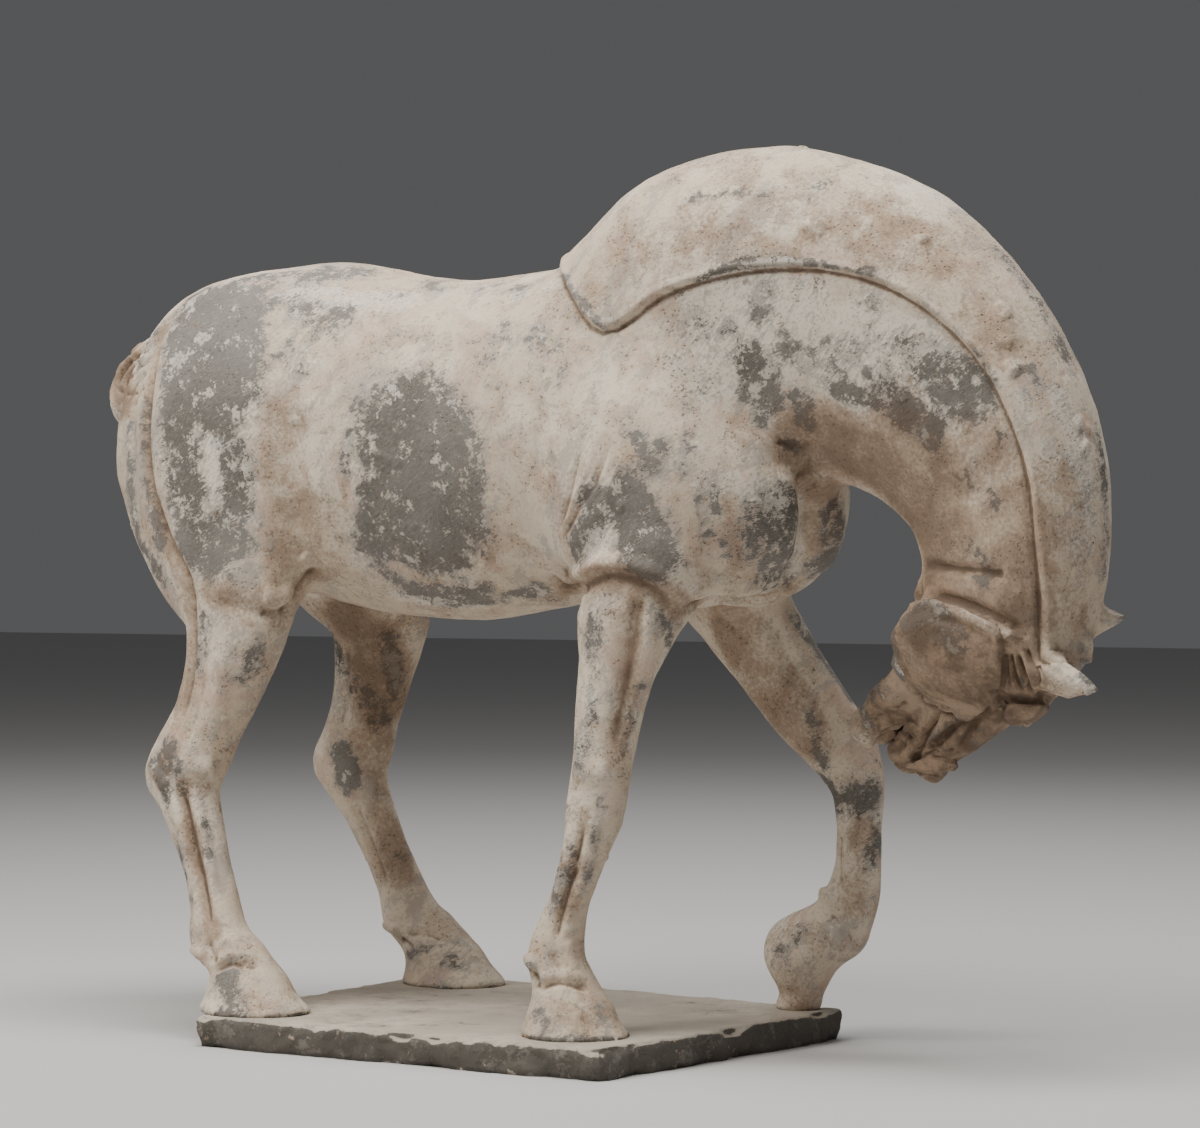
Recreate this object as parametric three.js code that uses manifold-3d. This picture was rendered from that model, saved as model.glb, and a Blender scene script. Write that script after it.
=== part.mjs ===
// A painted pottery horse that bends its neck down to rub its muzzle on the raised left
// foreleg, standing on a flat pottery plinth. Millimetres, +Z up, +X to the horse's front,
// +Y to its left. The origin is the middle of the plinth's underside.

import * as THREE from "three";
import { mergeVertices } from "three/addons/utils/BufferGeometryUtils.js";
import Module from "manifold-3d";

// Driving sizes, in millimetres.
const HORSE_HEIGHT = 414; // from the plinth's top to the crest of the neck
const PLINTH_THICKNESS = 15;
const PLINTH_CORNER_RADIUS = 7;
const PLINTH_EDGE_WEAR = 2; // how far the slab's edges are worn round
const MANE_STEP = 4; // how far the clipped mane stands proud of the neck
const TRIANGLES = 8800; // of the finished horse

// The horse's form is set out on a figure 414 mm tall and scaled with its height.
const FORM_HEIGHT = 414;
const SCALE = HORSE_HEIGHT / FORM_HEIGHT;
const CELL = FORM_HEIGHT / 104; // of the grid on which the form is sampled
const SOLE_DEPTH = 5; // the hooves run on below the plinth's top, and are cut off flat there

// Where each hoof stands, from the middle of the barrel, and how far out beyond it the
// nearest corner of the hand-cut plinth lies. In order round the plinth.
const HOOVES = {
  rightHind: { at: [-110, -78], corner: [-17, -32] },
  rightFore: { at: [70, -66], corner: [42, -38] },
  leftFore: { at: [107, 84], corner: [18, 14] },
  leftHind: { at: [-103, 77], corner: [-44, 37] },
};
const plinthSpan = (j, pick) =>
  pick(...Object.values(HOOVES).map(({ at, corner }) => at[j] + corner[j]));
const PLINTH_MIDDLE = [0, 1].map((j) => (plinthSpan(j, Math.min) + plinthSpan(j, Math.max)) / 2);

const rad = THREE.MathUtils.degToRad;
const clamp = THREE.MathUtils.clamp;

// Every form below is a function of a point, negative inside and roughly in millimetres,
// with the box that holds it.

// An ellipsoid, turned about x, y and z in degrees.
function blob(centre, radii, turn = [0, 0, 0]) {
  const back = new THREE.Matrix4()
    .makeRotationFromEuler(new THREE.Euler(...turn.map(rad)))
    .invert().elements;
  const [rx, ry, rz] = radii;
  const reach = Math.max(...radii);
  return {
    low: centre.map((c) => c - reach),
    high: centre.map((c) => c + reach),
    at(x, y, z) {
      const dx = x - centre[0];
      const dy = y - centre[1];
      const dz = z - centre[2];
      const a = (back[0] * dx + back[4] * dy + back[8] * dz) / rx;
      const b = (back[1] * dx + back[5] * dy + back[9] * dz) / ry;
      const c = (back[2] * dx + back[6] * dy + back[10] * dz) / rz;
      const near = Math.hypot(a, b, c);
      const slope = Math.hypot(a / rx, b / ry, c / rz);
      return slope < 1e-9 ? -Math.min(...radii) : (near * (near - 1)) / slope;
    },
  };
}

// A limb along a smooth line through stations [x, y, z, half depth, half width]. The width is
// measured along side, and egg narrows the section towards the line's outer bend.
function limb(stations, { side = [0, 1, 0], egg = 0, steps = 3 } = {}) {
  const curve = new THREE.CatmullRomCurve3(
    stations.map(([x, y, z]) => new THREE.Vector3(x, y, z)),
    false,
    "centripetal",
  );
  const count = (stations.length - 1) * steps;
  const nodes = [];
  for (let i = 0; i <= count; i++) {
    const share = i / steps;
    const from = Math.min(Math.floor(share), stations.length - 2);
    const ease = share - from;
    const point = curve.getPoint(i / count);
    const mix = (j) => stations[from][j] * (1 - ease) + stations[from + 1][j] * ease;
    nodes.push([point.x, point.y, point.z, mix(3), mix(4)]);
  }
  const across = new THREE.Vector3(...side).normalize();
  const links = nodes.slice(1).map((b, i) => {
    const a = nodes[i];
    const along = new THREE.Vector3(b[0] - a[0], b[1] - a[1], b[2] - a[2]);
    const out = new THREE.Vector3().crossVectors(along, across).normalize();
    return { a, b, along, square: along.lengthSq(), out };
  });
  const edge = (j, sign) =>
    sign * Math.max(...nodes.map((n) => sign * n[j] + Math.max(n[3], n[4])));
  return {
    low: [0, 1, 2].map((j) => edge(j, -1)),
    high: [0, 1, 2].map((j) => edge(j, 1)),
    at(x, y, z) {
      let best = Infinity;
      for (const { a, b, along, square, out } of links) {
        const dx = x - a[0];
        const dy = y - a[1];
        const dz = z - a[2];
        const t = clamp((dx * along.x + dy * along.y + dz * along.z) / square, 0, 1);
        const ox = dx - t * along.x;
        const oy = dy - t * along.y;
        const oz = dz - t * along.z;
        const wide = ox * across.x + oy * across.y + oz * across.z;
        const far = ox * ox + oy * oy + oz * oz;
        const deep = Math.sqrt(Math.max(far - wide * wide, 0));
        const depth = a[3] + t * (b[3] - a[3]);
        let width = a[4] + t * (b[4] - a[4]);
        if (egg) {
          const lift = ox * out.x + oy * out.y + oz * out.z;
          width *= 1 - egg * clamp(lift / depth, -1, 1);
        }
        const ratio = Math.hypot(wide / width, deep / depth);
        const reach = Math.sqrt(far);
        const d = ratio < 1e-6 ? -Math.min(depth, width) : reach * (1 - 1 / ratio);
        if (d < best) best = d;
      }
      return best;
    },
  };
}

// A form made in the head's own frame, placed on the neck.
function posed(form, matrix) {
  const back = matrix.clone().invert().elements;
  const box = new THREE.Box3(
    new THREE.Vector3(...form.low),
    new THREE.Vector3(...form.high),
  ).applyMatrix4(matrix);
  return {
    low: box.min.toArray(),
    high: box.max.toArray(),
    at: (x, y, z) =>
      form.at(
        back[0] * x + back[4] * y + back[8] * z + back[12],
        back[1] * x + back[5] * y + back[9] * z + back[13],
        back[2] * x + back[6] * y + back[10] * z + back[14],
      ),
  };
}

const bothSides = (make) => [make(1), make(-1)];

// Smooth joins and cuts: melt is how wide the seam is rounded.
const join = (form, melt) => ({ form, melt, cuts: false });
const carve = (form, melt) => ({ form, melt, cuts: true });

// Lifts the surface by the given height inside the form, up a short slope along its edge.
const raised = (form, height) => ({ form, height, melt: 0 });

function torso() {
  const barrel = limb([
    [-146, 0, 290, 77, 64],
    [-118, 0, 288, 84.5, 73],
    [-75, 0, 279, 85, 74],
    [-30, 0, 275, 84, 71],
    [15, 0, 280, 82, 69],
    [60, 0, 281, 76, 66],
    [95, 0, 274, 66, 58],
  ]);
  return [
    join(barrel, 10),
    ...bothSides((s) => join(blob([-153, s * 32, 286], [73, 46, 78]), 16)),
    ...bothSides((s) => join(blob([92, s * 43, 258], [50, 33, 60], [0, -14, 0]), 14)),
    ...bothSides((s) => join(blob([110, s * 23, 249.5], [53, 40, 51.5]), 5)),
  ];
}

function neck() {
  const form = limb(
    [
      [64, 0, 296, 62, 54],
      [111, 0, 329, 78, 51],
      [141, 0, 331, 80, 45],
      [187, 1, 325.5, 70.5, 41],
      [228, 3, 298, 58.5, 37],
      [253.5, 5, 262, 49, 33],
      [260, 7, 226, 43, 31],
      [255, 8, 198, 40, 29],
    ],
    { egg: -0.2, steps: 4 },
  );
  return [join(form, 20), raised(mane(), MANE_STEP)];
}

// The side view of the clipped mane: its lower edge, then well outside the crest.
const MANE_LOWER_EDGE = [
  [82, 328],
  [110, 343],
  [138, 351],
  [165, 354],
  [195, 352],
  [222, 344],
  [246, 329],
  [266, 308],
  [280, 281],
  [287, 255],
  [289, 228],
  [289, 200],
  [287, 178],
];
const MANE_BEYOND_CREST = [
  [330, 160],
  [345, 240],
  [320, 330],
  [250, 410],
  [140, 440],
  [50, 430],
  [24, 374],
  [55, 350],
];

// The signed distance to a closed outline in the side view.
function outline(points) {
  return (x, z) => {
    let best = Infinity;
    let inside = false;
    points.forEach(([bx, bz], i) => {
      const [ax, az] = points[(i + points.length - 1) % points.length];
      const ex = bx - ax;
      const ez = bz - az;
      const t = clamp(((x - ax) * ex + (z - az) * ez) / (ex * ex + ez * ez), 0, 1);
      best = Math.min(best, Math.hypot(x - ax - t * ex, z - az - t * ez));
      if (az > z !== bz > z && x < ax + (ex * (z - az)) / ez) inside = !inside;
    });
    return inside ? -best : best;
  };
}

function mane() {
  const lower = new THREE.SplineCurve(MANE_LOWER_EDGE.map(([x, z]) => new THREE.Vector2(x, z)));
  const band = outline([...lower.getPoints(36).map((p) => [p.x, p.y]), ...MANE_BEYOND_CREST]);
  return { low: [12, -70, 160], high: [345, 70, 440], at: (x, y, z) => band(x, z) };
}

// One hind leg, from the haunch to the hoof, which carries the shank along to its place.
function hindLeg(s, { at: [hoofX, hoofY] }) {
  const foot = (z) => clamp(1 - z / 170, 0, 1);
  const at = ([x, y, z, ...rest]) => [
    x - 2.5 + (hoofX + 117.5) * foot(z),
    s * y + (hoofY - 73 * s) * foot(z),
    z,
    ...rest,
  ];
  const haunch = limb(
    [
      [-150, 44, 264, 66, 34],
      [-146, 52, 232, 48, 29],
      [-134, 57, 200, 30.5, 23],
      [-139, 60, 168, 23.5, 18],
      [-148, 62, 146, 20.5, 15],
      [-158, 64, 126, 19, 14],
    ].map(at),
  );
  const shank = limb(
    [
      [-158, 64, 126, 19, 14],
      [-163, 65, 110, 19, 14],
      [-156, 66, 90, 14.5, 12.5],
      [-147, 68, 66, 12.5, 11],
      [-141, 70, 48, 13.5, 12],
      [-138, 71, 35, 16, 14],
      [-126, 72, 23, 14, 14],
    ].map(at),
  );
  const hoof = limb([[-124, 72, 22, 15, 15], [-115, 73, -SOLE_DEPTH, 28, 24]].map(at));
  return [
    join(haunch, 16),
    join(shank, 8),
    join(blob(at([-178, 65, 116]), [10, 8, 14], [0, 20, 0]), 8),
    join(hoof, 5),
  ];
}

function rightForeleg({ at: [hoofX, hoofY] }) {
  const leg = limb([
    [101, -50, 220, 33, 27],
    [96, -56, 198, 26.5, 21],
    [91, -59, 172, 19.5, 16],
    [87.5, -61, 150, 17, 14],
    [84.5, -62, 127, 14.5, 13],
    [81, -63, 104, 14.5, 13.5],
    [77, -64, 88, 11, 11],
    [69, -65, 64, 9.5, 9.5],
    [64, -65.5, 50, 11.5, 11],
    [61, -66, 35, 14.5, 13.5],
    [67, -66, 22, 13, 13.5],
  ]);
  const hoof = limb([
    [hoofX - 3, hoofY, 21, 14, 15],
    [hoofX + 1, hoofY, -SOLE_DEPTH, 27, 25],
  ]);
  return [join(leg, 3), join(hoof, 5)];
}

function leftForeleg({ at: [hoofX, hoofY] }) {
  const leg = limb([
    [82, 50, 220, 34, 27],
    [87, 55, 199, 25, 22],
    [100, 62, 176, 22.5, 19],
    [116, 70, 150, 21, 17],
    [133, 76, 128, 17.5, 16],
    [140, 78, 111, 13.5, 13],
    [140, 79, 92, 11, 11],
    [139, 80, 71, 12, 11],
    [135, 81, 56, 14, 13],
    [128, 82, 40, 15, 14],
  ]);
  const hoof = limb([
    [hoofX + 16, hoofY - 1, 40, 15.5, 15],
    [hoofX - 2, hoofY, 28, 19.5, 20],
  ]);
  const toe = limb([
    [hoofX - 1, hoofY, 14, 12, 13],
    [hoofX - 6, hoofY, -SOLE_DEPTH, 8, 9],
  ]);
  return [join(leg, 3), join(hoof, 6), join(toe, 6)];
}

// The docked tail, tied up in a short knot.
function tail() {
  const dock = limb([
    [-206, 0, 332, 15, 14],
    [-232, -2, 327, 13, 12],
    [-247, -5, 316, 14, 13],
    [-249, -6, 302, 13, 12],
    [-242, -5, 292, 7, 8],
  ]);
  return [join(dock, 6)];
}

// The head, in its own frame: x from the poll to the lips, y to its left, z out of the
// forehead. The neck curls it so far under that its forehead faces the ground and the front.
const HEAD_AT = [291, 7, 183];
const HEAD_ALONG = [-0.746, 0.429, -0.509];
const FOREHEAD_OUT = [0.66, 0.379, -0.649];

function headMatrix() {
  const x = new THREE.Vector3(...HEAD_ALONG).normalize();
  const y = new THREE.Vector3(...FOREHEAD_OUT).cross(x).normalize();
  const z = new THREE.Vector3().crossVectors(x, y);
  return new THREE.Matrix4().makeBasis(x, y, z).setPosition(...HEAD_AT);
}

function head() {
  const skull = blob([22, 0, -18], [36, 24, 25]);
  const nose = limb([
    [24, 0, -15, 21, 20],
    [60, 0, -13, 19, 16],
    [95, 0, -14, 17, 13],
    [116, 0, -17, 14, 12.5],
  ]);
  const jaw = limb([
    [52, 0, -44, 20, 13],
    [84, 0, -40, 13, 10],
    [112, 0, -41, 10, 9],
    [134, 0, -41, 11, 10],
  ]);
  const rightEar = limb([
    [8, -17, -6, 11, 7],
    [-3, -22, 7, 9, 6],
    [-17, -26, 22, 2, 2.5],
  ]);
  const leftEar = limb([
    [8, 17, -6, 11, 7],
    [-1, 21, 2, 8, 6],
    [-10, 25, 11, 2, 2.5],
  ]);
  const forelock = limb([
    [0, 0, 3, 8, 10],
    [30, 1, 7, 5, 8],
    [62, 3, 11, 3, 4],
  ]);
  const parts = [
    join(skull, 6),
    join(nose, 6),
    join(jaw, 6),
    ...bothSides((s) => join(blob([41, s * 13, -38], [29, 12, 28]), 4)),
    join(blob([123, 0, -19], [16, 13, 12]), 5),
    ...bothSides((s) => join(blob([115, s * 11, -7], [10, 6, 8]), 3)),
    ...bothSides((s) => join(blob([37, s * 18, -7], [9, 6, 6]), 3)),
    ...bothSides((s) => join(blob([30, s * 15, 3], [10, 7, 5]), 4)),
    join(rightEar, 3),
    join(leftEar, 3),
    join(forelock, 3),
    carve(limb([[156, 0, -31, 4, 30], [110, 0, -26, 3, 30]]), 3),
  ];
  const matrix = headMatrix();
  return parts.map((part) => ({ ...part, form: posed(part.form, matrix) }));
}

// Samples the forms on a grid, one after the other, each only inside its own box.
function sampled(parts) {
  const low = [0, 1, 2].map(
    (j) => Math.floor(Math.min(...parts.map((p) => p.form.low[j])) / CELL) * CELL - 2 * CELL,
  );
  const high = [0, 1, 2].map((j) => Math.max(...parts.map((p) => p.form.high[j])) + 2 * CELL);
  const size = low.map((c, j) => Math.ceil((high[j] - c) / CELL) + 1);
  const values = new Float32Array(size[0] * size[1] * size[2]).fill(1000);
  for (const { form, melt, cuts, height } of parts) {
    const room = melt + 2 * CELL;
    const first = low.map((c, j) => Math.max(0, Math.floor((form.low[j] - room - c) / CELL)));
    const last = low.map((c, j) =>
      Math.min(size[j] - 1, Math.ceil((form.high[j] + room - c) / CELL)),
    );
    for (let k = first[2]; k <= last[2]; k++)
      for (let j = first[1]; j <= last[1]; j++)
        for (let i = first[0]; i <= last[0]; i++) {
          const at = i + size[0] * (j + size[1] * k);
          if (values[at] < -6 * CELL || (height && values[at] > 6 * CELL)) continue;
          const d = form.at(low[0] + i * CELL, low[1] + j * CELL, low[2] + k * CELL);
          if (height) {
            values[at] -= height * clamp(0.5 - d / (2 * CELL), 0, 1);
            continue;
          }
          const old = cuts ? -values[at] : values[at];
          const rounded = Math.max(melt - Math.abs(old - d), 0);
          const made = Math.min(old, d) - (rounded * rounded) / (4 * melt);
          values[at] = cuts ? -made : made;
        }
  }
  return { low, size, values };
}

// Cuts each cell of the grid into six tetrahedra and lays one or two triangles where the
// surface crosses each, so the skin is always one closed surface.
function skinOf({ low, size, values }) {
  const [nx, ny, nz] = size;
  const corner = (n) => (n & 1) + nx * (((n >> 1) & 1) + ny * (n >> 2));
  const corners = [0, 1, 2, 3, 4, 5, 6, 7].map(corner);
  const rim = [1, 3, 2, 6, 4, 5];
  const cuts = rim.map((n, i) => [0, n, rim[(i + 1) % 6], 7].map(corner));
  const points = [];
  const triangles = [];
  const made = new Map();
  const place = (at) => [at % nx, Math.floor(at / nx) % ny, Math.floor(at / (nx * ny))];
  const crossing = (a, b) => {
    const [p, q] = a < b ? [a, b] : [b, a];
    const key = p * values.length + q;
    if (made.has(key)) return made.get(key);
    const t = clamp(values[p] / (values[p] - values[q]), 0.1, 0.9);
    const from = place(p);
    const to = place(q);
    points.push(from.map((c, j) => low[j] + CELL * (c + t * (to[j] - c))));
    made.set(key, points.length - 1);
    return points.length - 1;
  };
  for (let k = 0; k < nz - 1; k++)
    for (let j = 0; j < ny - 1; j++)
      for (let i = 0; i < nx - 1; i++) {
        const at = i + nx * (j + ny * k);
        const within = corners.filter((o) => values[at + o] < 0).length;
        if (within === 0 || within === 8) continue;
        for (const cut of cuts) {
          const four = cut.map((o) => at + o);
          const inner = four.filter((n) => values[n] < 0);
          if (inner.length === 0 || inner.length === 4) continue;
          const sorted = [...inner, ...four.filter((n) => values[n] >= 0)];
          const [a, b, c, d] = sorted;
          const order = sorted.map((n) => four.indexOf(n));
          const swaps = order.flatMap((n, x) => order.slice(x + 1).filter((m) => m < n)).length;
          const loop = {
            1: () => [crossing(a, b), crossing(a, c), crossing(a, d)],
            2: () => [crossing(a, c), crossing(a, d), crossing(b, d), crossing(b, c)],
            3: () => [crossing(a, d), crossing(b, d), crossing(c, d)],
          }[inner.length]();
          if (swaps % 2) loop.reverse();
          for (let n = 2; n < loop.length; n++) triangles.push([loop[0], loop[n - 1], loop[n]]);
        }
      }
  return { points, triangles };
}

// A heap that gives back the cheapest entry first.
class Queue {
  items = [];
  push(item) {
    const { items } = this;
    let at = items.length;
    while (at > 0) {
      const up = (at - 1) >> 1;
      if (items[up].cost <= item.cost) break;
      items[at] = items[up];
      at = up;
    }
    items[at] = item;
  }
  pop() {
    const { items } = this;
    const top = items[0];
    const item = items.pop();
    if (items.length === 0) return top;
    let at = 0;
    while (2 * at + 1 < items.length) {
      let down = 2 * at + 1;
      if (down + 1 < items.length && items[down + 1].cost < items[down].cost) down += 1;
      if (items[down].cost >= item.cost) break;
      items[at] = items[down];
      at = down;
    }
    items[at] = item;
    return top;
  }
}

const minus = (a, b) => [a[0] - b[0], a[1] - b[1], a[2] - b[2]];
const dot = (a, b) => a[0] * b[0] + a[1] * b[1] + a[2] * b[2];
const cross = (a, b) => [
  a[1] * b[2] - a[2] * b[1],
  a[2] * b[0] - a[0] * b[2],
  a[0] * b[1] - a[1] * b[0],
];

// Collapses the edges that change the form least, one by one, until few triangles are left.
// Flat stretches thin out first, and the skin stays closed and keeps its faces outwards.
function thinned({ points, triangles }, target) {
  const quadrics = points.map(() => new Float64Array(10));
  const fans = points.map(() => new Set());
  const age = new Int32Array(points.length);
  triangles.forEach((triangle, n) => {
    const [a, b, c] = triangle.map((i) => points[i]);
    const normal = cross(minus(b, a), minus(c, a));
    const area = Math.hypot(...normal) || 1e-9;
    const [x, y, z] = normal.map((v) => v / area);
    const w = -(x * a[0] + y * a[1] + z * a[2]);
    const sums = [x * x, x * y, x * z, x * w, y * y, y * z, y * w, z * z, z * w, w * w];
    for (const i of triangle) {
      fans[i].add(n);
      sums.forEach((v, j) => (quadrics[i][j] += v * area));
    }
  });
  const error = (q, [x, y, z]) =>
    q[0] * x * x + q[4] * y * y + q[7] * z * z + q[9] +
    2 * (q[1] * x * y + q[2] * x * z + q[3] * x + q[5] * y * z + q[6] * y + q[8] * z);
  const best = (q, a, b) => {
    const middle = a.map((v, j) => (v + b[j]) / 2);
    const rows = [[q[0], q[1], q[2]], [q[1], q[4], q[5]], [q[2], q[5], q[7]]];
    const size = dot(rows[0], cross(rows[1], rows[2]));
    const scale = q[0] + q[4] + q[7];
    if (Math.abs(size) < 1e-4 * scale * scale * scale) return middle;
    const right = [-q[3], -q[6], -q[8]];
    const spot = [
      dot(right, cross(rows[1], rows[2])) / size,
      dot(rows[0], cross(right, rows[2])) / size,
      dot(rows[0], cross(rows[1], right)) / size,
    ];
    const span = Math.hypot(...minus(a, b));
    return Math.hypot(...minus(spot, middle)) > span ? middle : spot;
  };
  const queue = new Queue();
  const offer = (a, b) => {
    const q = quadrics[a].map((v, j) => v + quadrics[b][j]);
    const spot = best(q, points[a], points[b]);
    const span = minus(points[a], points[b]);
    const cost = error(q, spot) + 0.02 * dot(span, span);
    queue.push({ cost, a, b, spot, ages: age[a] + age[b] });
  };
  const ring = (i) => new Set([...fans[i]].flatMap((n) => triangles[n]).filter((v) => v !== i));
  const slim = (area, a, b, c) => {
    const sides = [minus(a, b), minus(b, c), minus(c, a)].map((side) => dot(side, side));
    return area / Math.max(...sides);
  };
  const tidy = (i, gone, spot) => {
    for (const n of fans[i]) {
      const triangle = triangles[n];
      if (triangle.includes(gone)) continue;
      const [a, b, c] = triangle.map((v) => points[v]);
      const [d, e, f] = triangle.map((v) => (v === i ? spot : points[v]));
      const before = cross(minus(b, a), minus(c, a));
      const after = cross(minus(e, d), minus(f, d));
      const area = Math.hypot(...before);
      const next = Math.hypot(...after);
      if (dot(before, after) < 0.35 * area * next) return false;
      if (slim(next, d, e, f) < Math.min(0.06, 0.9 * slim(area, a, b, c))) return false;
    }
    return true;
  };
  points.forEach((_, i) => ring(i).forEach((v) => v > i && offer(i, v)));
  let left = triangles.length;
  while (left > target && queue.items.length > 0) {
    const { a, b, spot, ages } = queue.pop();
    if (!fans[a] || !fans[b] || age[a] + age[b] !== ages) continue;
    const near = ring(a);
    const shared = [...ring(b)].filter((v) => near.has(v));
    if (shared.length !== 2 || !tidy(a, b, spot) || !tidy(b, a, spot)) continue;
    for (const n of fans[b]) {
      const triangle = triangles[n];
      if (triangle.includes(a)) {
        triangle.forEach((v) => v !== b && fans[v].delete(n));
        triangles[n] = null;
        left -= 1;
      } else {
        triangle[triangle.indexOf(b)] = a;
        fans[a].add(n);
      }
    }
    fans[b] = null;
    points[a] = spot;
    quadrics[b].forEach((v, j) => (quadrics[a][j] += v));
    const around = ring(a);
    age[a] += 1;
    around.forEach((v) => offer(a, v));
  }
  const kept = new Map();
  fans.forEach((fan, i) => fan && fan.size > 0 && kept.set(i, kept.size));
  return {
    points: [...kept.keys()].map((i) => points[i]),
    triangles: triangles.filter(Boolean).map((triangle) => triangle.map((v) => kept.get(v))),
  };
}

const wasm = await Module();
wasm.setup();

function solidOf(geometry) {
  geometry.deleteAttribute("normal");
  geometry.deleteAttribute("uv");
  const merged = mergeVertices(geometry, 1e-4);
  return new wasm.Manifold(
    new wasm.Mesh({
      numProp: 3,
      vertProperties: new Float32Array(merged.attributes.position.array),
      triVerts: new Uint32Array(merged.index.array),
    }),
  );
}

function geometryOf(solid) {
  const { vertProperties, triVerts, numProp } = solid.getMesh();
  const geometry = new THREE.BufferGeometry();
  const positions = new Float32Array((vertProperties.length / numProp) * 3);
  for (let i = 0; i < positions.length; i++) {
    positions[i] = vertProperties[Math.floor(i / 3) * numProp + (i % 3)];
  }
  geometry.setAttribute("position", new THREE.BufferAttribute(positions, 3));
  geometry.setIndex([...triVerts]);
  geometry.computeVertexNormals();
  return geometry;
}

// The whole figure, scaled to its height and cut off flat on the plinth's top.
function horse() {
  const { points, triangles } = thinned(
    skinOf(
      sampled([
        ...torso(),
        ...neck(),
        ...hindLeg(-1, HOOVES.rightHind),
        ...hindLeg(1, HOOVES.leftHind),
        ...rightForeleg(HOOVES.rightFore),
        ...leftForeleg(HOOVES.leftFore),
        ...tail(),
        ...head(),
      ]),
    ),
    TRIANGLES,
  );
  const geometry = new THREE.BufferGeometry();
  geometry.setAttribute("position", new THREE.Float32BufferAttribute(points.flat(), 3));
  geometry.setIndex(triangles.flat());
  geometry.translate(-PLINTH_MIDDLE[0], -PLINTH_MIDDLE[1], 0);
  geometry.scale(SCALE, SCALE, SCALE);
  const ground = new THREE.BoxGeometry(HORSE_HEIGHT, HORSE_HEIGHT, HORSE_HEIGHT);
  ground.translate(0, 0, -HORSE_HEIGHT / 2);
  return geometryOf(solidOf(geometry).subtract(solidOf(ground)));
}

// The slab under the hooves, its corners reached from the hooves' middles, its top edge worn.
function plinth() {
  const corners = Object.values(HOOVES).map(({ at, corner }) =>
    new THREE.Vector2(...at.map((c, j) => SCALE * (c + corner[j] - PLINTH_MIDDLE[j]))),
  );
  const outline = new THREE.Shape();
  corners.forEach((corner, i) => {
    const before = corners[(i + 3) % 4].clone().sub(corner).setLength(PLINTH_CORNER_RADIUS);
    const after = corners[(i + 1) % 4].clone().sub(corner).setLength(PLINTH_CORNER_RADIUS);
    const start = corner.clone().add(before);
    const end = corner.clone().add(after);
    if (i === 0) outline.moveTo(start.x, start.y);
    else outline.lineTo(start.x, start.y);
    outline.quadraticCurveTo(corner.x, corner.y, end.x, end.y);
  });
  outline.closePath();
  const slab = new THREE.ExtrudeGeometry(outline, {
    depth: PLINTH_THICKNESS - 2 * PLINTH_EDGE_WEAR,
    bevelThickness: PLINTH_EDGE_WEAR,
    bevelSize: PLINTH_EDGE_WEAR,
    bevelOffset: -PLINTH_EDGE_WEAR,
    bevelSegments: 2,
    curveSegments: 4,
  });
  slab.translate(0, 0, PLINTH_EDGE_WEAR - PLINTH_THICKNESS);
  return geometryOf(solidOf(slab));
}

function piece(name, geometry, color) {
  const material = new THREE.MeshStandardMaterial({ color, roughness: 0.9, metalness: 0 });
  const mesh = new THREE.Mesh(geometry.translate(0, 0, PLINTH_THICKNESS), material);
  mesh.name = name;
  return mesh;
}

const group = new THREE.Group();
group.name = "pottery_horse";
group.add(piece("horse", horse(), "#cbbca4"));
group.add(piece("plinth", plinth(), "#b9b0a0"));
export default group;
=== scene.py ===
import math

import bmesh
import bpy
import numpy as np
from mathutils import Matrix, Vector, noise
from mathutils.bvhtree import BVHTree
from mathutils.kdtree import KDTree


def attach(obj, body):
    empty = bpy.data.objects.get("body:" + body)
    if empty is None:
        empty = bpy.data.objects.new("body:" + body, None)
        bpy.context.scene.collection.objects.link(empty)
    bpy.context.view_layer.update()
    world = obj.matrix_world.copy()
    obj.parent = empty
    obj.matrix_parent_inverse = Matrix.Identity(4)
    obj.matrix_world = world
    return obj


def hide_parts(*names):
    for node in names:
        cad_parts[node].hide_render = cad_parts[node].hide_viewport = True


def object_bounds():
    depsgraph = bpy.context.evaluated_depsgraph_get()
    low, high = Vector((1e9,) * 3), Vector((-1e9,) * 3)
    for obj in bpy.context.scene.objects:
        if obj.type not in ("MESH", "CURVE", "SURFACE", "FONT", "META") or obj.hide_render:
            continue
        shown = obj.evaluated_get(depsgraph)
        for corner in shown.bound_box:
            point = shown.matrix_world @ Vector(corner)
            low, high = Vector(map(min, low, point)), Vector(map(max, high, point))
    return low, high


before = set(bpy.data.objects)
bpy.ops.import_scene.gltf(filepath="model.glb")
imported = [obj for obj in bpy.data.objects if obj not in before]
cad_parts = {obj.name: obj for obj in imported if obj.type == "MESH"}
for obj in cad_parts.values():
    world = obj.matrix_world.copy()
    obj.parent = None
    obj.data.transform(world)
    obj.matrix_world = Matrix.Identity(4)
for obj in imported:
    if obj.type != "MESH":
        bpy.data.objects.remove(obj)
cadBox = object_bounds()
mm = 0.001


# camera, floor and light

studio = {
    "cameraSpot": (1.0644, -1.5025, 0.234),  # level with the chest, off the right shoulder
    "cameraTurn": 34,  # degrees round from square-on
    "focalLength": 112.2,
    "figureDepths": (1.5, 2.15),  # the nearest and farthest of the figure from the camera
    "floorColour": (0.52, 0.51, 0.50),
    "keyPower": 30,
    "topPower": 37,
    "fillPower": 1.0,
    "backPower": 8,
    "skyStrength": 0.10,
}

pictureWidth, pictureHeight = 1200, 1128
sensorWidth = 36  # mm
pixelReach = studio["focalLength"] / sensorWidth * pictureWidth  # lens to picture, in pixels
turn = math.radians(studio["cameraTurn"])
viewAcross = Vector((math.cos(turn), math.sin(turn), 0))
viewAlong = Vector((-math.sin(turn), math.cos(turn), 0))


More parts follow.
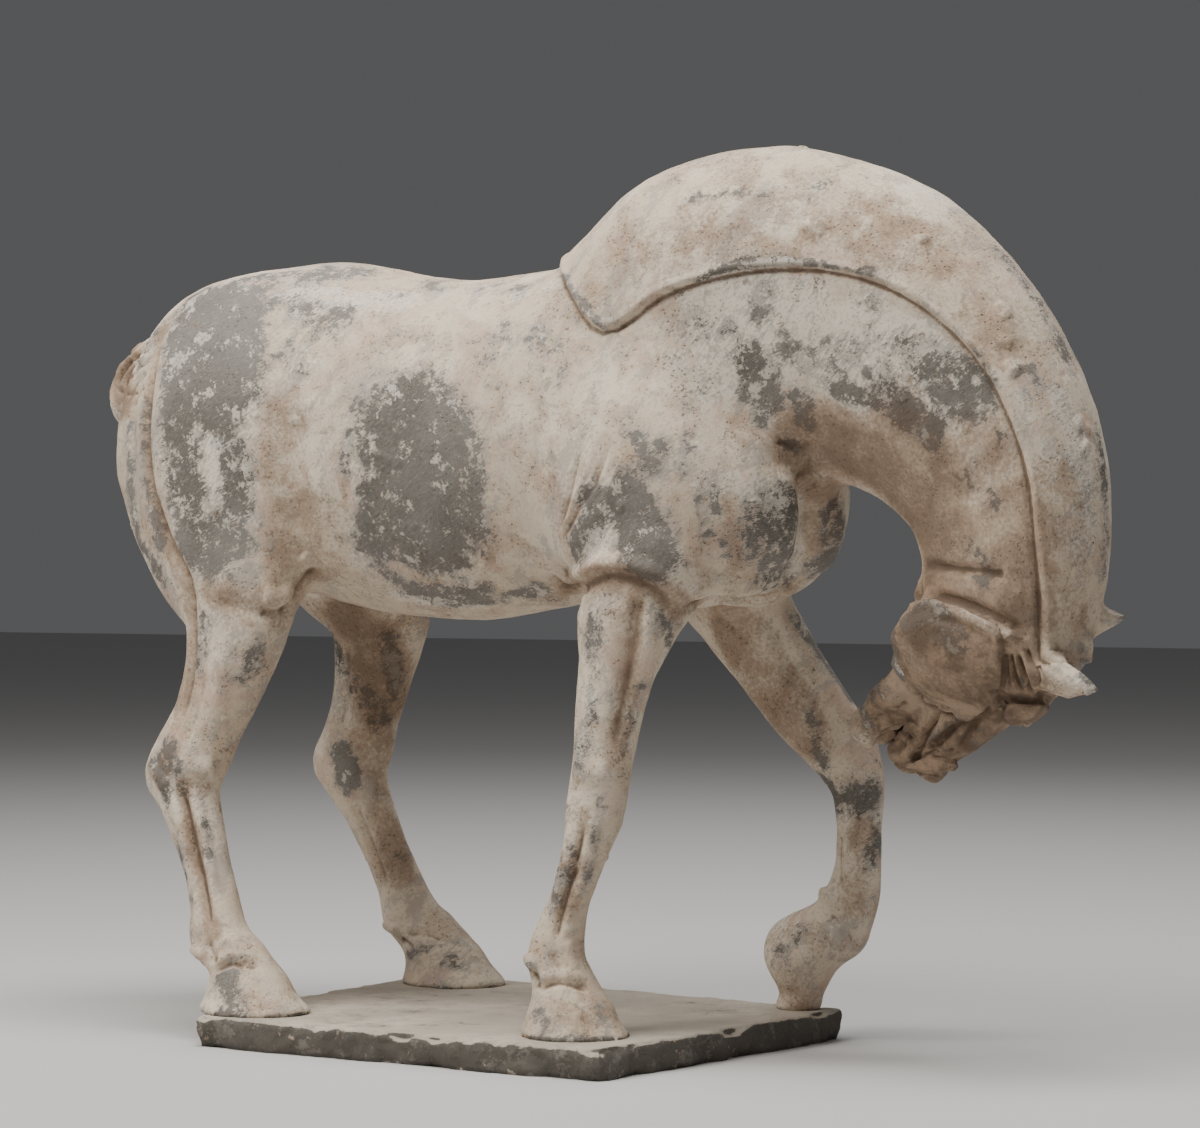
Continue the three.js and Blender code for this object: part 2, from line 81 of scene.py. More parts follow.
def addCamera():
    data = bpy.data.cameras.new("camera")
    data.lens = studio["focalLength"]
    data.sensor_width = sensorWidth
    data.clip_end = 30
    camera = bpy.data.objects.new("camera", data)
    camera.location = studio["cameraSpot"]
    camera.rotation_euler = viewAlong.to_track_quat("-Z", "Y").to_euler()
    bpy.context.collection.objects.link(camera)
    bpy.context.scene.camera = camera


def addSoftbox(name, spot, target, size, power, colour=(1, 1, 1)):
    data = bpy.data.lights.new(name, "AREA")
    data.shape = "RECTANGLE"
    data.size, data.size_y = size
    data.energy = power
    data.color = colour
    lamp = bpy.data.objects.new(name, data)
    lamp.location = spot
    lamp.rotation_euler = (Vector(target) - Vector(spot)).to_track_quat("-Z", "Y").to_euler()
    bpy.context.collection.objects.link(lamp)


def addStudio():
    addCamera()
    # the strongest light is overhead, a warmer one high on the camera's left; the others soften the shade
    addSoftbox("key", (-0.50, -1.10, 1.45), (0, 0, 0.2), (0.9, 0.8), studio["keyPower"], (1, 0.965, 0.92))
    addSoftbox("top", (0.30, -0.22, 1.9), (0.05, 0, 0.2), (1.1, 0.7), studio["topPower"], (1, 0.98, 0.95))
    addSoftbox("fill", (1.9, -0.7, 0.7), (0.05, 0, 0.2), (1.2, 1.2), studio["fillPower"], (0.96, 0.98, 1))
    addSoftbox("back", (-0.3, 1.5, 1.5), (0.1, 0, 0.3), (1.6, 0.6), studio["backPower"])
    world = bpy.data.worlds.new("studio")
    world.use_nodes = True
    background = world.node_tree.nodes["Background"]
    background.inputs["Color"].default_value = (0.97, 0.975, 1, 1)
    background.inputs["Strength"].default_value = studio["skyStrength"]
    bpy.context.scene.world = world
    bm = bmesh.new()
    bmesh.ops.create_grid(bm, x_segments=2, y_segments=2, size=8)
    mesh = bpy.data.meshes.new("floor")
    bm.to_mesh(mesh)
    bm.free()
    floor = bpy.data.objects.new("floor", mesh)
    bpy.context.collection.objects.link(floor)
    paint = bpy.data.materials.new("floor paint")
    paint.use_nodes = True
    shader = paint.node_tree.nodes["Principled BSDF"]
    shader.inputs["Base Color"].default_value = (*studio["floorColour"], 1)
    shader.inputs["Roughness"].default_value = 0.85
    mesh.materials.append(paint)


addStudio()
print("studio set up")


# what the materials are made with

class Value:
    # a socket that can be used in sums
    def __init__(self, finish, socket):
        self.finish = finish
        self.socket = socket

    def sum(self, operation, *others, clamp=False):
        settings = {"operation": operation, "use_clamp": clamp}
        return self.finish.node("ShaderNodeMath", settings, [self, *others])

    def __add__(self, other):
        return self.sum("ADD", other)

    __radd__ = __add__

    def __mul__(self, other):
        return self.sum("MULTIPLY", other)

    __rmul__ = __mul__

    def __sub__(self, other):
        return self.sum("SUBTRACT", other)

    def __rsub__(self, other):
        return self * -1 + other

    def limited(self):
        return self.sum("ADD", 0, clamp=True)

    def step(self, low, high):
        settings = {"interpolation_type": "SMOOTHSTEP"}
        return self.finish.node("ShaderNodeMapRange", settings, [self, low, high])


class Finish:
    # a material under construction
    def __init__(self, name):
        self.material = bpy.data.materials.new(name)
        self.material.use_nodes = True
        self.tree = self.material.node_tree
        self.shader = self.tree.nodes["Principled BSDF"]
        self.place = self.node("ShaderNodeTexCoord", output="Object")

    def feed(self, socket, value):
        if isinstance(value, Value):
            self.tree.links.new(value.socket, socket)
        elif isinstance(value, (tuple, list)) and len(socket.default_value) == 4 and len(value) == 3:
            socket.default_value = (*value, 1)
        else:
            socket.default_value = value

    def node(self, kind, settings=None, values=(), output=0):
        made = self.tree.nodes.new(kind)
        for name, setting in (settings or {}).items():
            setattr(made, name, setting)
        pairs = values.items() if isinstance(values, dict) else enumerate(values)
        for key, value in pairs:
            self.feed(made.inputs[key], value)
        return Value(self, made.outputs[output])

    def noise(self, scale, detail=3, roughness=0.55, distortion=0, place=None):
        values = {
            "Vector": place or self.place,
            "Scale": scale,
            "Detail": detail,
            "Roughness": roughness,
            "Distortion": distortion,
        }
        return self.node("ShaderNodeTexNoise", None, values, "Fac")

    def stretched(self, turns, scales):
        values = {"Vector": self.place, "Rotation": [math.radians(t) for t in turns], "Scale": scales}
        return self.node("ShaderNodeMapping", {"vector_type": "TEXTURE"}, values)

    def attribute(self, name, output="Fac"):
        return self.node("ShaderNodeAttribute", {"attribute_name": name}, (), output)

    def mix(self, factor, first, second):
        made = self.tree.nodes.new("ShaderNodeMix")
        made.data_type = "RGBA"
        self.feed(made.inputs[0], factor)
        self.feed(made.inputs[6], first)
        self.feed(made.inputs[7], second)
        return Value(self, made.outputs[2])

    def bump(self, height, distance, strength):
        values = {"Strength": strength, "Distance": distance, "Height": height}
        return self.node("ShaderNodeBump", None, values)

    def into(self, name, value):
        self.feed(self.shader.inputs[name], value)


# what the pieces are shaped with

def mergedCopy(node, name):
    bm = bmesh.new()
    bm.from_mesh(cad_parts[node].data)
    bmesh.ops.remove_doubles(bm, verts=bm.verts, dist=1e-6)
    mesh = bpy.data.meshes.new(name)
    bm.to_mesh(mesh)
    bm.free()
    piece = bpy.data.objects.new(name, mesh)
    bpy.context.collection.objects.link(piece)
    return piece


def applied(piece, *modifiers):
    for kind, settings in modifiers:
        added = piece.modifiers.new(kind.lower(), kind)
        for key, value in settings.items():
            setattr(added, key, value)
    graph = bpy.context.evaluated_depsgraph_get()
    mesh = bpy.data.meshes.new_from_object(piece.evaluated_get(graph))
    piece.modifiers.clear()
    old = piece.data
    mesh.name = old.name
    piece.data = mesh
    bpy.data.meshes.remove(old)


def vectorsOf(items, field):
    flat = np.empty(len(items) * 3, np.float32)
    items.foreach_get(field, flat)
    return flat.reshape(-1, 3).astype(float)


def coordsOf(mesh):
    return vectorsOf(mesh.vertices, "co")


def normalsOf(mesh):
    return vectorsOf(mesh.vertex_normals, "vector")


def setCoords(mesh, coords):
    mesh.vertices.foreach_set("co", coords.astype(np.float32).ravel())
    mesh.update()


def smoothCoords(piece, times):
    # where the vertices would lie after so many rounds of smoothing
    copy = piece.copy()
    copy.data = piece.data.copy()
    bpy.context.collection.objects.link(copy)
    applied(copy, ("SMOOTH", {"factor": 0.5, "iterations": times}))
    coords = coordsOf(copy.data)
    mesh = copy.data
    bpy.data.objects.remove(copy)
    bpy.data.meshes.remove(mesh)
    return coords


def keptInside(coords):
    # nothing stands out of the CAD's own box
    low, high = np.array([list(map(float, corner)) for corner in cadBox])
    return np.clip(coords, low + (0.1 * mm, 0.1 * mm, 0), high - 0.1 * mm)


def ease(value, low, high):
    share = np.clip((value - low) / (high - low), 0, 1)
    return share * share * (3 - 2 * share)


def roundedLine(points, steps=4):
    # a Catmull-Rom line through the points
    points = [np.array(p, float) for p in points]
    if len(points) < 3:
        return [points[0] + (points[-1] - points[0]) * t for t in np.linspace(0, 1, 5)]
    points = [2 * points[0] - points[1], *points, 2 * points[-1] - points[-2]]
    line = []
    for a, b, c, d in zip(points, points[1:], points[2:], points[3:]):
        for t in np.arange(steps) / steps:
            bend = (2 * a - 5 * b + 4 * c - d) * t * t
            twist = (3 * b - a - 3 * c + d) * t ** 3
            line.append(0.5 * (2 * b + (c - a) * t + bend + twist))
    line.append(points[-2])
    return line


class Skin:
    # a mesh that strokes push in and pull out, with the marks they leave
    def __init__(self, piece):
        self.piece = piece
        self.mesh = piece.data
        self.refresh()

    def refresh(self):
        self.coords = coordsOf(self.mesh)
        self.normals = normalsOf(self.mesh)
        self.tree = BVHTree.FromPolygons(
            self.coords.tolist(), [tuple(p.vertices) for p in self.mesh.polygons])

    def seen(self, across, down):
        # the point of the skin that the camera sees at a place in its picture, else the nearest to its ray
        eye = Vector(studio["cameraSpot"])
        right = (across - pictureWidth / 2) / pixelReach
        up = (pictureHeight / 2 - down) / pixelReach
        ray = viewAlong + viewAcross * right + Vector((0, 0, up))
        hit = self.tree.ray_cast(eye, ray.normalized())[0]
        if hit:
            return np.array(hit)
        near = [self.tree.find_nearest(eye + ray * d) for d in np.linspace(*studio["figureDepths"], 66)]
        return np.array(min(near, key=lambda found: found[3])[0])

    def onto(self, point):
        return np.array(self.tree.find_nearest(Vector(point))[0])

    def near(self, line, reach):
        # vertices near a line, their distance from it and how far along it they are
        line = np.array(line)
        low, high = line.min(0) - reach, line.max(0) + reach
        picked = np.flatnonzero(((self.coords > low) & (self.coords < high)).all(1))
        spots = self.coords[picked]
        best = np.full(len(picked), np.inf)
        along = np.zeros(len(picked))
        for i, (a, b) in enumerate(zip(line, line[1:])):
            step = b - a
            t = np.clip((spots - a) @ step / max(step @ step, 1e-12), 0, 1)
            away = np.linalg.norm(spots - a - t[:, None] * step, axis=1)
            closer = away < best
            best[closer] = away[closer]
            along[closer] = (i + t[closer]) / (len(line) - 1)
        kept = best < reach
        return picked[kept], best[kept], along[kept]

    def stroke(self, line, width, depth, taper=0.18, flat=0):
        # depth > 0 carves a groove, depth < 0 raises a ridge
        width *= mm
        picked, away, along = self.near(line, width)
        share = np.clip((away / width - flat) / (1 - flat), 0, 1)
        push = (1 - share ** 2) ** 2
        if taper:
            push *= ease(np.minimum(along, 1 - along), -0.02, taper)
        self.coords[picked] -= self.normals[picked] * (push * depth * mm)[:, None]

    def commit(self):
        setCoords(self.mesh, self.coords)
        self.refresh()


def insideOutline(spots, outline):
    # signed distance to a closed outline, above zero inside
    outline = np.array(outline, float)
    away = np.full(len(spots), np.inf)
    inside = np.zeros(len(spots), bool)
    for a, b in zip(outline, np.roll(outline, -1, 0)):
        step = b - a
        t = np.clip((spots - a) @ step / (step @ step), 0, 1)
        away = np.minimum(away, np.linalg.norm(spots - a - t[:, None] * step, axis=1))
        crosses = (a[1] > spots[:, 1]) != (b[1] > spots[:, 1])
        if a[1] != b[1]:
            inside ^= crosses & (spots[:, 0] < a[0] + step[0] * (spots[:, 1] - a[1]) / step[1])
    return np.where(inside, away, -away)


def inPicture(coords):
    # where the camera sees each point, in pixels of its picture
    off = coords - np.array(studio["cameraSpot"])
    depth = off @ np.array(viewAlong)
    reach = pixelReach / depth
    across = pictureWidth / 2 + off @ np.array(viewAcross) * reach
    return np.stack([across, pictureHeight / 2 - off[:, 2] * reach], 1)


# the horse

horse = {
    "voxel": 1.25,
    "triangles": 192000,
    "lightSmoothing": 6,
    "heavySmoothing": 34,
    "unevenness": 0.45,
    "middleY": -0.002,  # of the body, across
    "soleTop": 0.0158,  # what is lower than this is sole
    "soleLevel": 0.0146,  # just under the slab's top
    "headSpot": (0.302, 0.005, 0.198),  # the poll
    "headAlong": (-0.746, 0.429, -0.509),  # from the poll to the lips
    "foreheadOut": (0.66, 0.379, -0.649),
    "headReach": 0.088,  # from the middle of the head
    "headTop": 0.212,
    "maneLip": 1.4,
    "maneGroove": 2.1,
    "footFlare": 1.5,
    "chanceScabs": 260,
}

headX = Vector(horse["headAlong"]).normalized()
headY = Vector(horse["foreheadOut"]).cross(headX).normalized()
headZ = headX.cross(headY)
headAxes = np.array((headX, headY, headZ))
headFrame = Matrix((headX, headY, headZ)).transposed().to_4x4()
headFrame.translation = horse["headSpot"]
headBack = headFrame.inverted()


def inHead(coords):
    # places in the head's own frame, in mm from the poll
    return (coords - np.array(horse["headSpot"])) @ headAxes.T / mm


def mirroredInBody(point):
    return np.array((point[0], 2 * horse["middleY"] - point[1], point[2]))


def mirroredInHead(point):
    local = headBack @ Vector(point)
    return np.array(headFrame @ Vector((local.x, -local.y, local.z)))


# the lower edge of the clipped mane in the side view, in mm, from its corner at the withers
maneEdge = [(93, 343), (121, 358), (149, 366), (176, 369), (206, 367), (233, 359), (257, 344),
            (277, 323), (291, 296), (298, 270), (300, 243), (300, 215), (298, 193)]
maneRear = [(35, 389), (66, 365)]
maneOutside = [(345, 175), (365, 255), (340, 350), (262, 430), (150, 460), (55, 450)]
maneCentre = np.array((0.165, 0.235))  # of the neck's arc, in x and z
maneReach = 0.16  # from that centre
maneLowest = 0.19
maneHalfWidth = 0.075
maneShift = 0.002  # of its middle, to the left


def maneDepth(coords):
    # how far inside the mane's band each vertex lies, in mm, in the side view
    edge = roundedLine([*maneRear, *maneEdge], 4)
    return insideOutline(coords[:, [0, 2]] / mm, [*edge, *maneOutside])


# strokes: the line's points in the picture, then half width and depth in mm (minus stands proud)

# groove down the back of the thigh, from the tail to the second thigh
thighStrokes = [
    ((163, 331), (151, 381), (146, 437), (151, 487), (169, 541), (188, 581), (193, 640), (186, 700),
      (170, 748), 4.5, 3),
    ((176, 325), (163, 381), (158, 437), (163, 487), (181, 541), (199, 590), 6, -1.2),
    ((140, 345), (133, 400), (133, 460), (140, 520), (160, 570), 6, 1.4),
]

# the shoulder's edge over the foreleg
shoulderStrokes = [
    ((552, 562), (557, 580), (571, 591), (585, 584), (604, 577), (628, 579), (652, 590), (672, 606),
      (682, 614), 5.5, 3.4),
    ((554, 588), (575, 600), (604, 590), (630, 592), (656, 606), (672, 620), 9, 2),
    ((548, 548), (551, 566), (570, 577), (588, 570), (606, 563), (630, 565), (656, 576),
      (680, 596), 6.5, -3),
    ((682, 612), (697, 605), (714, 597), (736, 600), (760, 600), (785, 592), 5, 3),
    ((690, 596), (712, 586), (740, 588), (764, 584), (784, 572), 10, -3),
]

# skin folds behind the elbow
elbowStrokes = [
    ((594, 408), (577, 462), (568, 498), (557, 540), 2.6, 1.2),
    ((612, 440), (594, 484), (577, 512), (558, 546), 2.6, 1.4),
    ((603, 424), (586, 472), (573, 504), (559, 540), 3, -0.9),
    ((620, 452), (604, 488), (588, 516), 2.4, 0.7),
    ((626, 440), (608, 492), (590, 522), (572, 552), 8, -1.2),
]

# the two lobes of the chest, with a cleft between them, and the crease where the neck leaves it
chestStrokes = [
    ((797, 462), (805, 485), (806, 512), (803, 540), (796, 566), (787, 590), 10, 4.5),
    ((803, 480), (806, 512), (803, 542), (795, 568), 5, 3.5),
    ((780, 462), (788, 500), (787, 540), (778, 570), 12, -3.4),
    ((832, 500), (838, 530), (830, 556), (816, 574), 12, -2.6),
    ((776, 440), (786, 444), (797, 449), 3, 2),
    ((800, 440), (808, 462), (804, 486), 7, 1.6),
]

# flank, stifle and the belly's fold
flankStrokes = [
    ((322, 560), (306, 580), (292, 600), (280, 622), 5, 2.6),
    ((297, 406), (292, 469), (299, 540), 18, 2.4),
    ((262, 596), (280, 598), (296, 592), 8, -3),
    ((258, 612), (276, 614), (292, 606), 5, 1.8),
    ((300, 553), (314, 566), (322, 580), 6, -2.6),
    ((214, 598), (236, 606), (262, 612), (286, 610), 6, 1.6),
    ((340, 470), (346, 520), (366, 570), 12, 1.4),
    ((330, 580), (348, 592), (362, 603), 4, 1.6),
]

# sinews and bones of the legs, and the rims of the hoofs
legStrokes = [
    ((205, 640), (198, 700), (183, 745), 6, 2.2),
    ((224, 640), (218, 690), (206, 736), 8, -1.8),
    ((181, 782), (192, 830), (203, 880), (213, 932), 2.8, 3.4),
    ((171, 786), (182, 835), (194, 890), 4, -2),
    ((193, 786), (204, 836), (216, 890), 4, -1.8),
    ((150, 760), (158, 775), (168, 792), 6, -2.6),
    ((175, 758), (196, 770), (216, 768), 8, -2),
    ((226, 942), (236, 955), (240, 967), 3.8, 1.5),
    ((192, 946), (199, 954), (206, 956), 5, -2.8),
    ((202, 966), (206, 974), (208, 984), 6, 3.4),
    ((222, 938), (230, 948), (232, 958), 4, -1.6),
    ((206, 940), (212, 952), (216, 964), 3.4, 1.8),
    ((212, 972), (234, 964), (262, 968), 3.2, 1.9),
    ((214, 962), (236, 955), (258, 958), 4, -1.3),
    ((642, 592), (635, 640), (625, 690), (612, 752), 5, 2.6),
    ((614, 596), (610, 650), (602, 720), 9, -2),
    ((658, 612), (652, 650), (640, 700), 7, -1.6),
    ((572, 768), (590, 774), (612, 768), 8, -2),
    ((585, 818), (575, 866), (562, 914), (556, 944), 3, 2.4),
    ((598, 812), (590, 860), (580, 910), 4.5, -1.5),
    ((572, 822), (562, 866), (550, 908), 4, -1.2),
    ((524, 952), (530, 962), (536, 968), 5, -2.4),
    ((530, 972), (535, 980), (535, 990), 5.5, 2.6),
    ((566, 940), (572, 956), (574, 972), 4, -1.4),
    ((552, 950), (557, 966), (562, 980), 3.6, 1.3),
    ((536, 990), (560, 983), (590, 990), 3.2, 2),
    ((538, 980), (562, 973), (586, 980), 4, -1.4),
    ((346, 640), (344, 690), (338, 735), 5, 2.2),
    ((372, 640), (366, 690), (356, 735), 6, -1.6),
    ((326, 740), (342, 756), (360, 764), 7, -2),
    ((353, 800), (370, 840), (388, 890), 4, 2.2),
    ((385, 922), (392, 928), (400, 930), 4.5, -3),
    ((398, 938), (406, 944), (412, 950), 4, 2.4),
    ((404, 936), (424, 934), (446, 940), 3.2, 1.8),
    ((768, 610), (790, 660), (812, 700), (832, 742), 6, 2),
    ((840, 830), (838, 860), (840, 890), 4, 2),
    ((816, 882), (826, 894), (838, 900), 6, -2.6),
    ((850, 886), (862, 908), (868, 930), 5, -1.6),
    ((826, 912), (842, 926), (856, 944), 4, 2.2),
    ((800, 916), (820, 934), (836, 954), 4, 1.8),
]

tailStrokes = [
    ((152, 336), (138, 344), (124, 356), (114, 372), 1.9, 1.7),
    ((152, 347), (139, 355), (126, 368), (117, 386), 1.9, 1.8),
    ((150, 359), (139, 368), (129, 381), (121, 399), 1.9, 1.8),
    ((148, 372), (139, 381), (132, 394), (126, 410), 1.9, 1.6),
    ((145, 386), (139, 395), (134, 408), 1.7, 1.4),
    ((152, 341), (139, 349), (125, 362), (115, 379), 1.9, -1),
    ((151, 353), (139, 361), (127, 374), (119, 392), 1.9, -1),
    ((149, 366), (139, 374), (130, 387), (123, 404), 1.9, -1),
    ((112, 352), (124, 350), (138, 358), 1.6, 1.2),
    ((113, 384), (126, 394), (140, 392), 1.6, 1.2),
]

# forms of the head: the outline in the picture, then height and how wide the edge slopes, in mm
headPads = [
    # the round cheek
    ((899, 674), (892, 660), (891, 645), (897, 628), (910, 612), (928, 603), (950, 607), (975, 617),
      (998, 630), (1003, 655), (1003, 682), (995, 698), (984, 710), (968, 720), (950, 713), (928, 700),
      (912, 690), 3, 3),
    # chin
    ((868, 706), (868, 694), (876, 684), (888, 680), (899, 684), (904, 694), (900, 706),
      (888, 712), 2, 4),
    # plate over the eye
    ((1003, 698), (1004, 718), (1016, 721), (1030, 720), (1040, 713), (1048, 702), (1034, 700),
      (1018, 698), 3.2, 1.4),
    # flap over the nostril
    ((904, 766), (914, 760), (934, 757), (952, 759), (957, 765), (950, 770), (930, 771), 2.2, 1.6),
]

headStrokes = [
    # the cheek's rim and the crease under it
    ((895, 668), (904, 684), (918, 696), (936, 708), (952, 716), (968, 723), (984, 715),
      (998, 703), 2.8, 2.8),
    ((1005, 655), (1006, 674), (1003, 692), 2.4, 2.4),
    ((908, 612), (926, 603), (952, 608), (980, 620), (1006, 634), (1022, 641), 3.4, -2.4),
    ((925, 594), (952, 599), (980, 609), (1005, 621), (1030, 634), 4, 2.8),
    ((930, 619), (955, 622), (978, 634), (996, 646), 3.2, 1.2),
    # fluted folds at the root of the ear
    ((1006, 652), (1005, 672), (1010, 692), 1.9, 2.4),
    ((1010, 652), (1015, 674), (1023, 694), 1.9, 3),
    ((1017, 652), (1025, 676), (1032, 694), 1.9, 3),
    ((1026, 646), (1034, 667), (1041, 690), 2, 2.8),
    ((1009, 656), (1011, 674), (1017, 692), 1.6, -1.1),
    ((1014, 655), (1020, 675), (1027, 692), 1.6, -1.1),
    ((1023, 650), (1029, 670), (1036, 690), 1.8, -1.2),
    ((1006, 692), (1018, 700), (1034, 701), (1052, 694), 2, 0.8),
    # the crease inside the ear
    ((1030, 650), (1036, 665), (1044, 680), (1052, 690), 2.6, 2.6),
    ((1036, 645), (1056, 654), (1074, 668), (1092, 685), 1.8, -0.5),
    ((1048, 688), (1068, 697), (1086, 698), 1.8, -0.6),
    # grooves and ridges of the face
    ((938, 706), (934, 721), (925, 736), (919, 752), (909, 763), 3, 3.6),
    ((968, 721), (952, 729), (941, 738), (929, 747), 2.8, 3.2),
    ((990, 708), (978, 718), (970, 730), (963, 743), (958, 754), 3, 3.6),
    ((950, 716), (942, 728), (931, 739), (926, 752), 2.8, -2),
    ((974, 720), (960, 733), (948, 745), (940, 752), 3.2, -2.3),
    ((1002, 716), (986, 734), (968, 754), 3.6, -1.4),
    # wrinkles over the nostril
    ((918, 757), (936, 751), (955, 750), 1.6, 1.7),
    ((922, 750), (940, 744), (958, 743), 1.6, 1.6),
    ((930, 743), (944, 738), (960, 736), 1.5, 1.3),
    ((906, 771), (917, 774), (930, 777), (946, 778), 1.8, 2.6),
    # lips
    ((864, 742), (874, 736), (884, 726), (894, 723), (906, 722), 2.2, -1.4),
    ((872, 747), (884, 736), (894, 731), (906, 729), 1.8, 2.2),
    ((893, 768), (895, 754), (904, 744), 1.8, 1.4),
    ((908, 738), (913, 748), (908, 762), 2.6, -1.6),
    ((868, 724), (880, 716), (898, 708), (908, 700), 3.4, 1.4),
    ((894, 758), (900, 748), (910, 738), 5, -3.4),
    ((915, 722), (912, 732), (908, 738), 5.5, -4.6),
    ((896, 764), (897, 754), (903, 746), 1.6, 1.6),
    ((880, 744), (891, 739), (903, 731), 4, -2.4),
    ((884, 746), (894, 741), (905, 734), 1.4, 1.8),
    # the ear's edge, its hollow and the shadow under it
    ((1040, 648), (1070, 668), (1096, 688), 2.2, -0.7),
    ((1036, 655), (1050, 668), (1064, 678), 2.4, 0.9),
    ((1036, 692), (1050, 699), (1062, 703), 2.4, 1.8),
    ((918, 779), (930, 781), (941, 778), 4.5, 2.2),
    # throat
    ((905, 606), (910, 590), (918, 576), 4, -1.6),
]


mmPerPixel = 0.52  # at the head


def raisePads(skin, pads):
    # each form on the side that the camera sees, and its mirror in the head's own frame
    local = inHead(skin.coords)
    close = np.flatnonzero((np.abs(local - (62, 0, -24)) < (92, 46, 54)).all(1))
    flip = np.array((1, -1, 1))
    for mirrored in (False, True):
        spots, facing = skin.coords[close], skin.normals[close]
        if mirrored:
            spots = np.array(horse["headSpot"]) + (local[close] * flip * mm) @ headAxes
            facing = (facing @ headAxes.T * flip) @ headAxes
        toward = ease(-(facing @ np.array(viewAlong)), -0.1, 0.25)
        seen = inPicture(spots)
        for *outline, height, edge in pads:
            inner = insideOutline(seen, roundedLine([*outline, outline[0]], 3)[:-1]) * mmPerPixel
            push = ease(inner, -edge * 0.35, edge * 0.65) * toward * height * mm
            skin.coords[close] += skin.normals[close] * push[:, None]
    skin.commit()


def liftedLine(skin, points):
    return [skin.seen(x, y) for x, y in roundedLine(points, 3)]


def carveStrokes(skin, *groups):
    # each group is its strokes and the mirror that they have, or None
    for strokes, flip in groups:
        for *points, width, depth in strokes:
            line = liftedLine(skin, points)
            skin.stroke(line, width, depth)
            if flip:
                skin.stroke([skin.onto(flip(p)) for p in line], width, depth)
    skin.commit()


def shapeEyes(skin):
    for flip in (None, mirroredInHead):
        spot = skin.seen(995, 700)
        below = [skin.seen(x, y) for x, y in ((986, 707), (995, 711), (1004, 707), (1007, 699))]
        above = [skin.seen(x, y) for x, y in ((988, 694), (996, 691), (1004, 694))]
        if flip:
            spot = skin.onto(flip(spot))
            below = [skin.onto(flip(p)) for p in below]
            above = [skin.onto(flip(p)) for p in above]
        skin.stroke([spot, spot + 1e-5], 4.2, -2.8, taper=0, flat=0.3)
        skin.stroke(roundedLine(below), 1.8, 1.8, taper=0.1)
        skin.stroke(roundedLine(above), 1.6, 1.2, taper=0.1)
    skin.commit()


def shapeTail(skin):
    # twisted strands round the docked tail
    line = np.array([
        (-0.217, -0.002, 0.352), (-0.236, -0.005, 0.345), (-0.244, -0.008, 0.328),
        (-0.241, -0.008, 0.312), (-0.232, -0.007, 0.300)])
    picked, away, along = skin.near(roundedLine(line, 4), 0.024)
    spots = skin.coords[picked]
    behind = ease(-spots[:, 0], 0.221, 0.229)
    middle = np.array([np.interp(along, np.linspace(0, 1, len(line)), line[:, j]) for j in range(3)]).T
    out = spots - middle
    angle = np.arctan2(out[:, 1], out[:, 2] + out[:, 0] * 0.6)
    strand = np.sin(9 * angle + 7 * along) * 0.7 + np.sin(17 * angle - 11 * along) * 0.3
    knot = np.sin(along * 15 + 1.3 * np.sin(angle)) * 0.8
    skin.coords[picked] += skin.normals[picked] * ((strand + knot) * behind * mm)[:, None]
    skin.commit()


# lumps of hardened earth: place in the picture, radius and height in mm
scabs = [
    (732, 168, 3.0, 0.9), (814, 224, 4.4, 1.2), (808, 229, 3.0, 0.9), (821, 227, 3.0, 1.0),
    (921, 238, 3.0, 1.3), (1003, 306, 3.4, 1.1), (1007, 313, 2.6, 0.9), (1003, 340, 3.4, 1.1),
    (1013, 366, 3.4, 1.2), (1012, 374, 2.8, 1.0), (1080, 422, 3.4, 1.0), (1086, 428, 2.4, 0.8),
    (1086, 444, 2.8, 1.2), (1084, 450, 2.6, 0.9), (964, 426, 2.6, 0.9), (866, 222, 2.6, 0.7),
    (788, 172, 3.0, 0.7), (904, 376, 2.6, 0.9), (868, 376, 3.4, 0.8), (795, 345, 2.8, 0.8),
    (900, 400, 2.2, 0.7), (548, 380, 2.2, 0.9), (620, 506, 2.4, 0.8), (297, 420, 3.0, 0.8),
    (303, 482, 3.6, 0.8), (432, 578, 3.4, 0.8), (383, 455, 2.4, 0.8), (399, 462, 2.4, 0.7),
    (386, 462, 3.0, 0.7), (535, 562, 3.0, 0.7), (1074, 572, 2.4, 0.8), (1062, 600, 2.4, 0.8),
    (1020, 588, 2.0, 0.6), (606, 860, 2.0, 0.6), (574, 868, 2.2, 0.7), (834, 690, 2.2, 0.6),
    (340, 660, 2.2, 0.6), (224, 720, 2.0, 0.6), (868, 300, 2.4, 0.6), (756, 232, 2.4, 0.6),
]


def scatterScabs(skin, count):
    chance = np.random.default_rng(5)
    marks = [(skin.seen(x, y), radius, height) for x, y, radius, height in scabs]
    for spot in chance.choice(len(skin.coords), count):
        if skin.coords[spot, 2] > 0.02:
            marks.append((skin.coords[spot], chance.uniform(1.2, 3.2), chance.uniform(-0.7, 0.8)))
    for spot, radius, height in marks:
        ring = [spot + chance.normal(0, radius * 0.35, 3) * mm for _ in range(3)]
        skin.stroke([skin.onto(p) for p in ring], radius, -height, taper=0, flat=0.3)
    skin.commit()


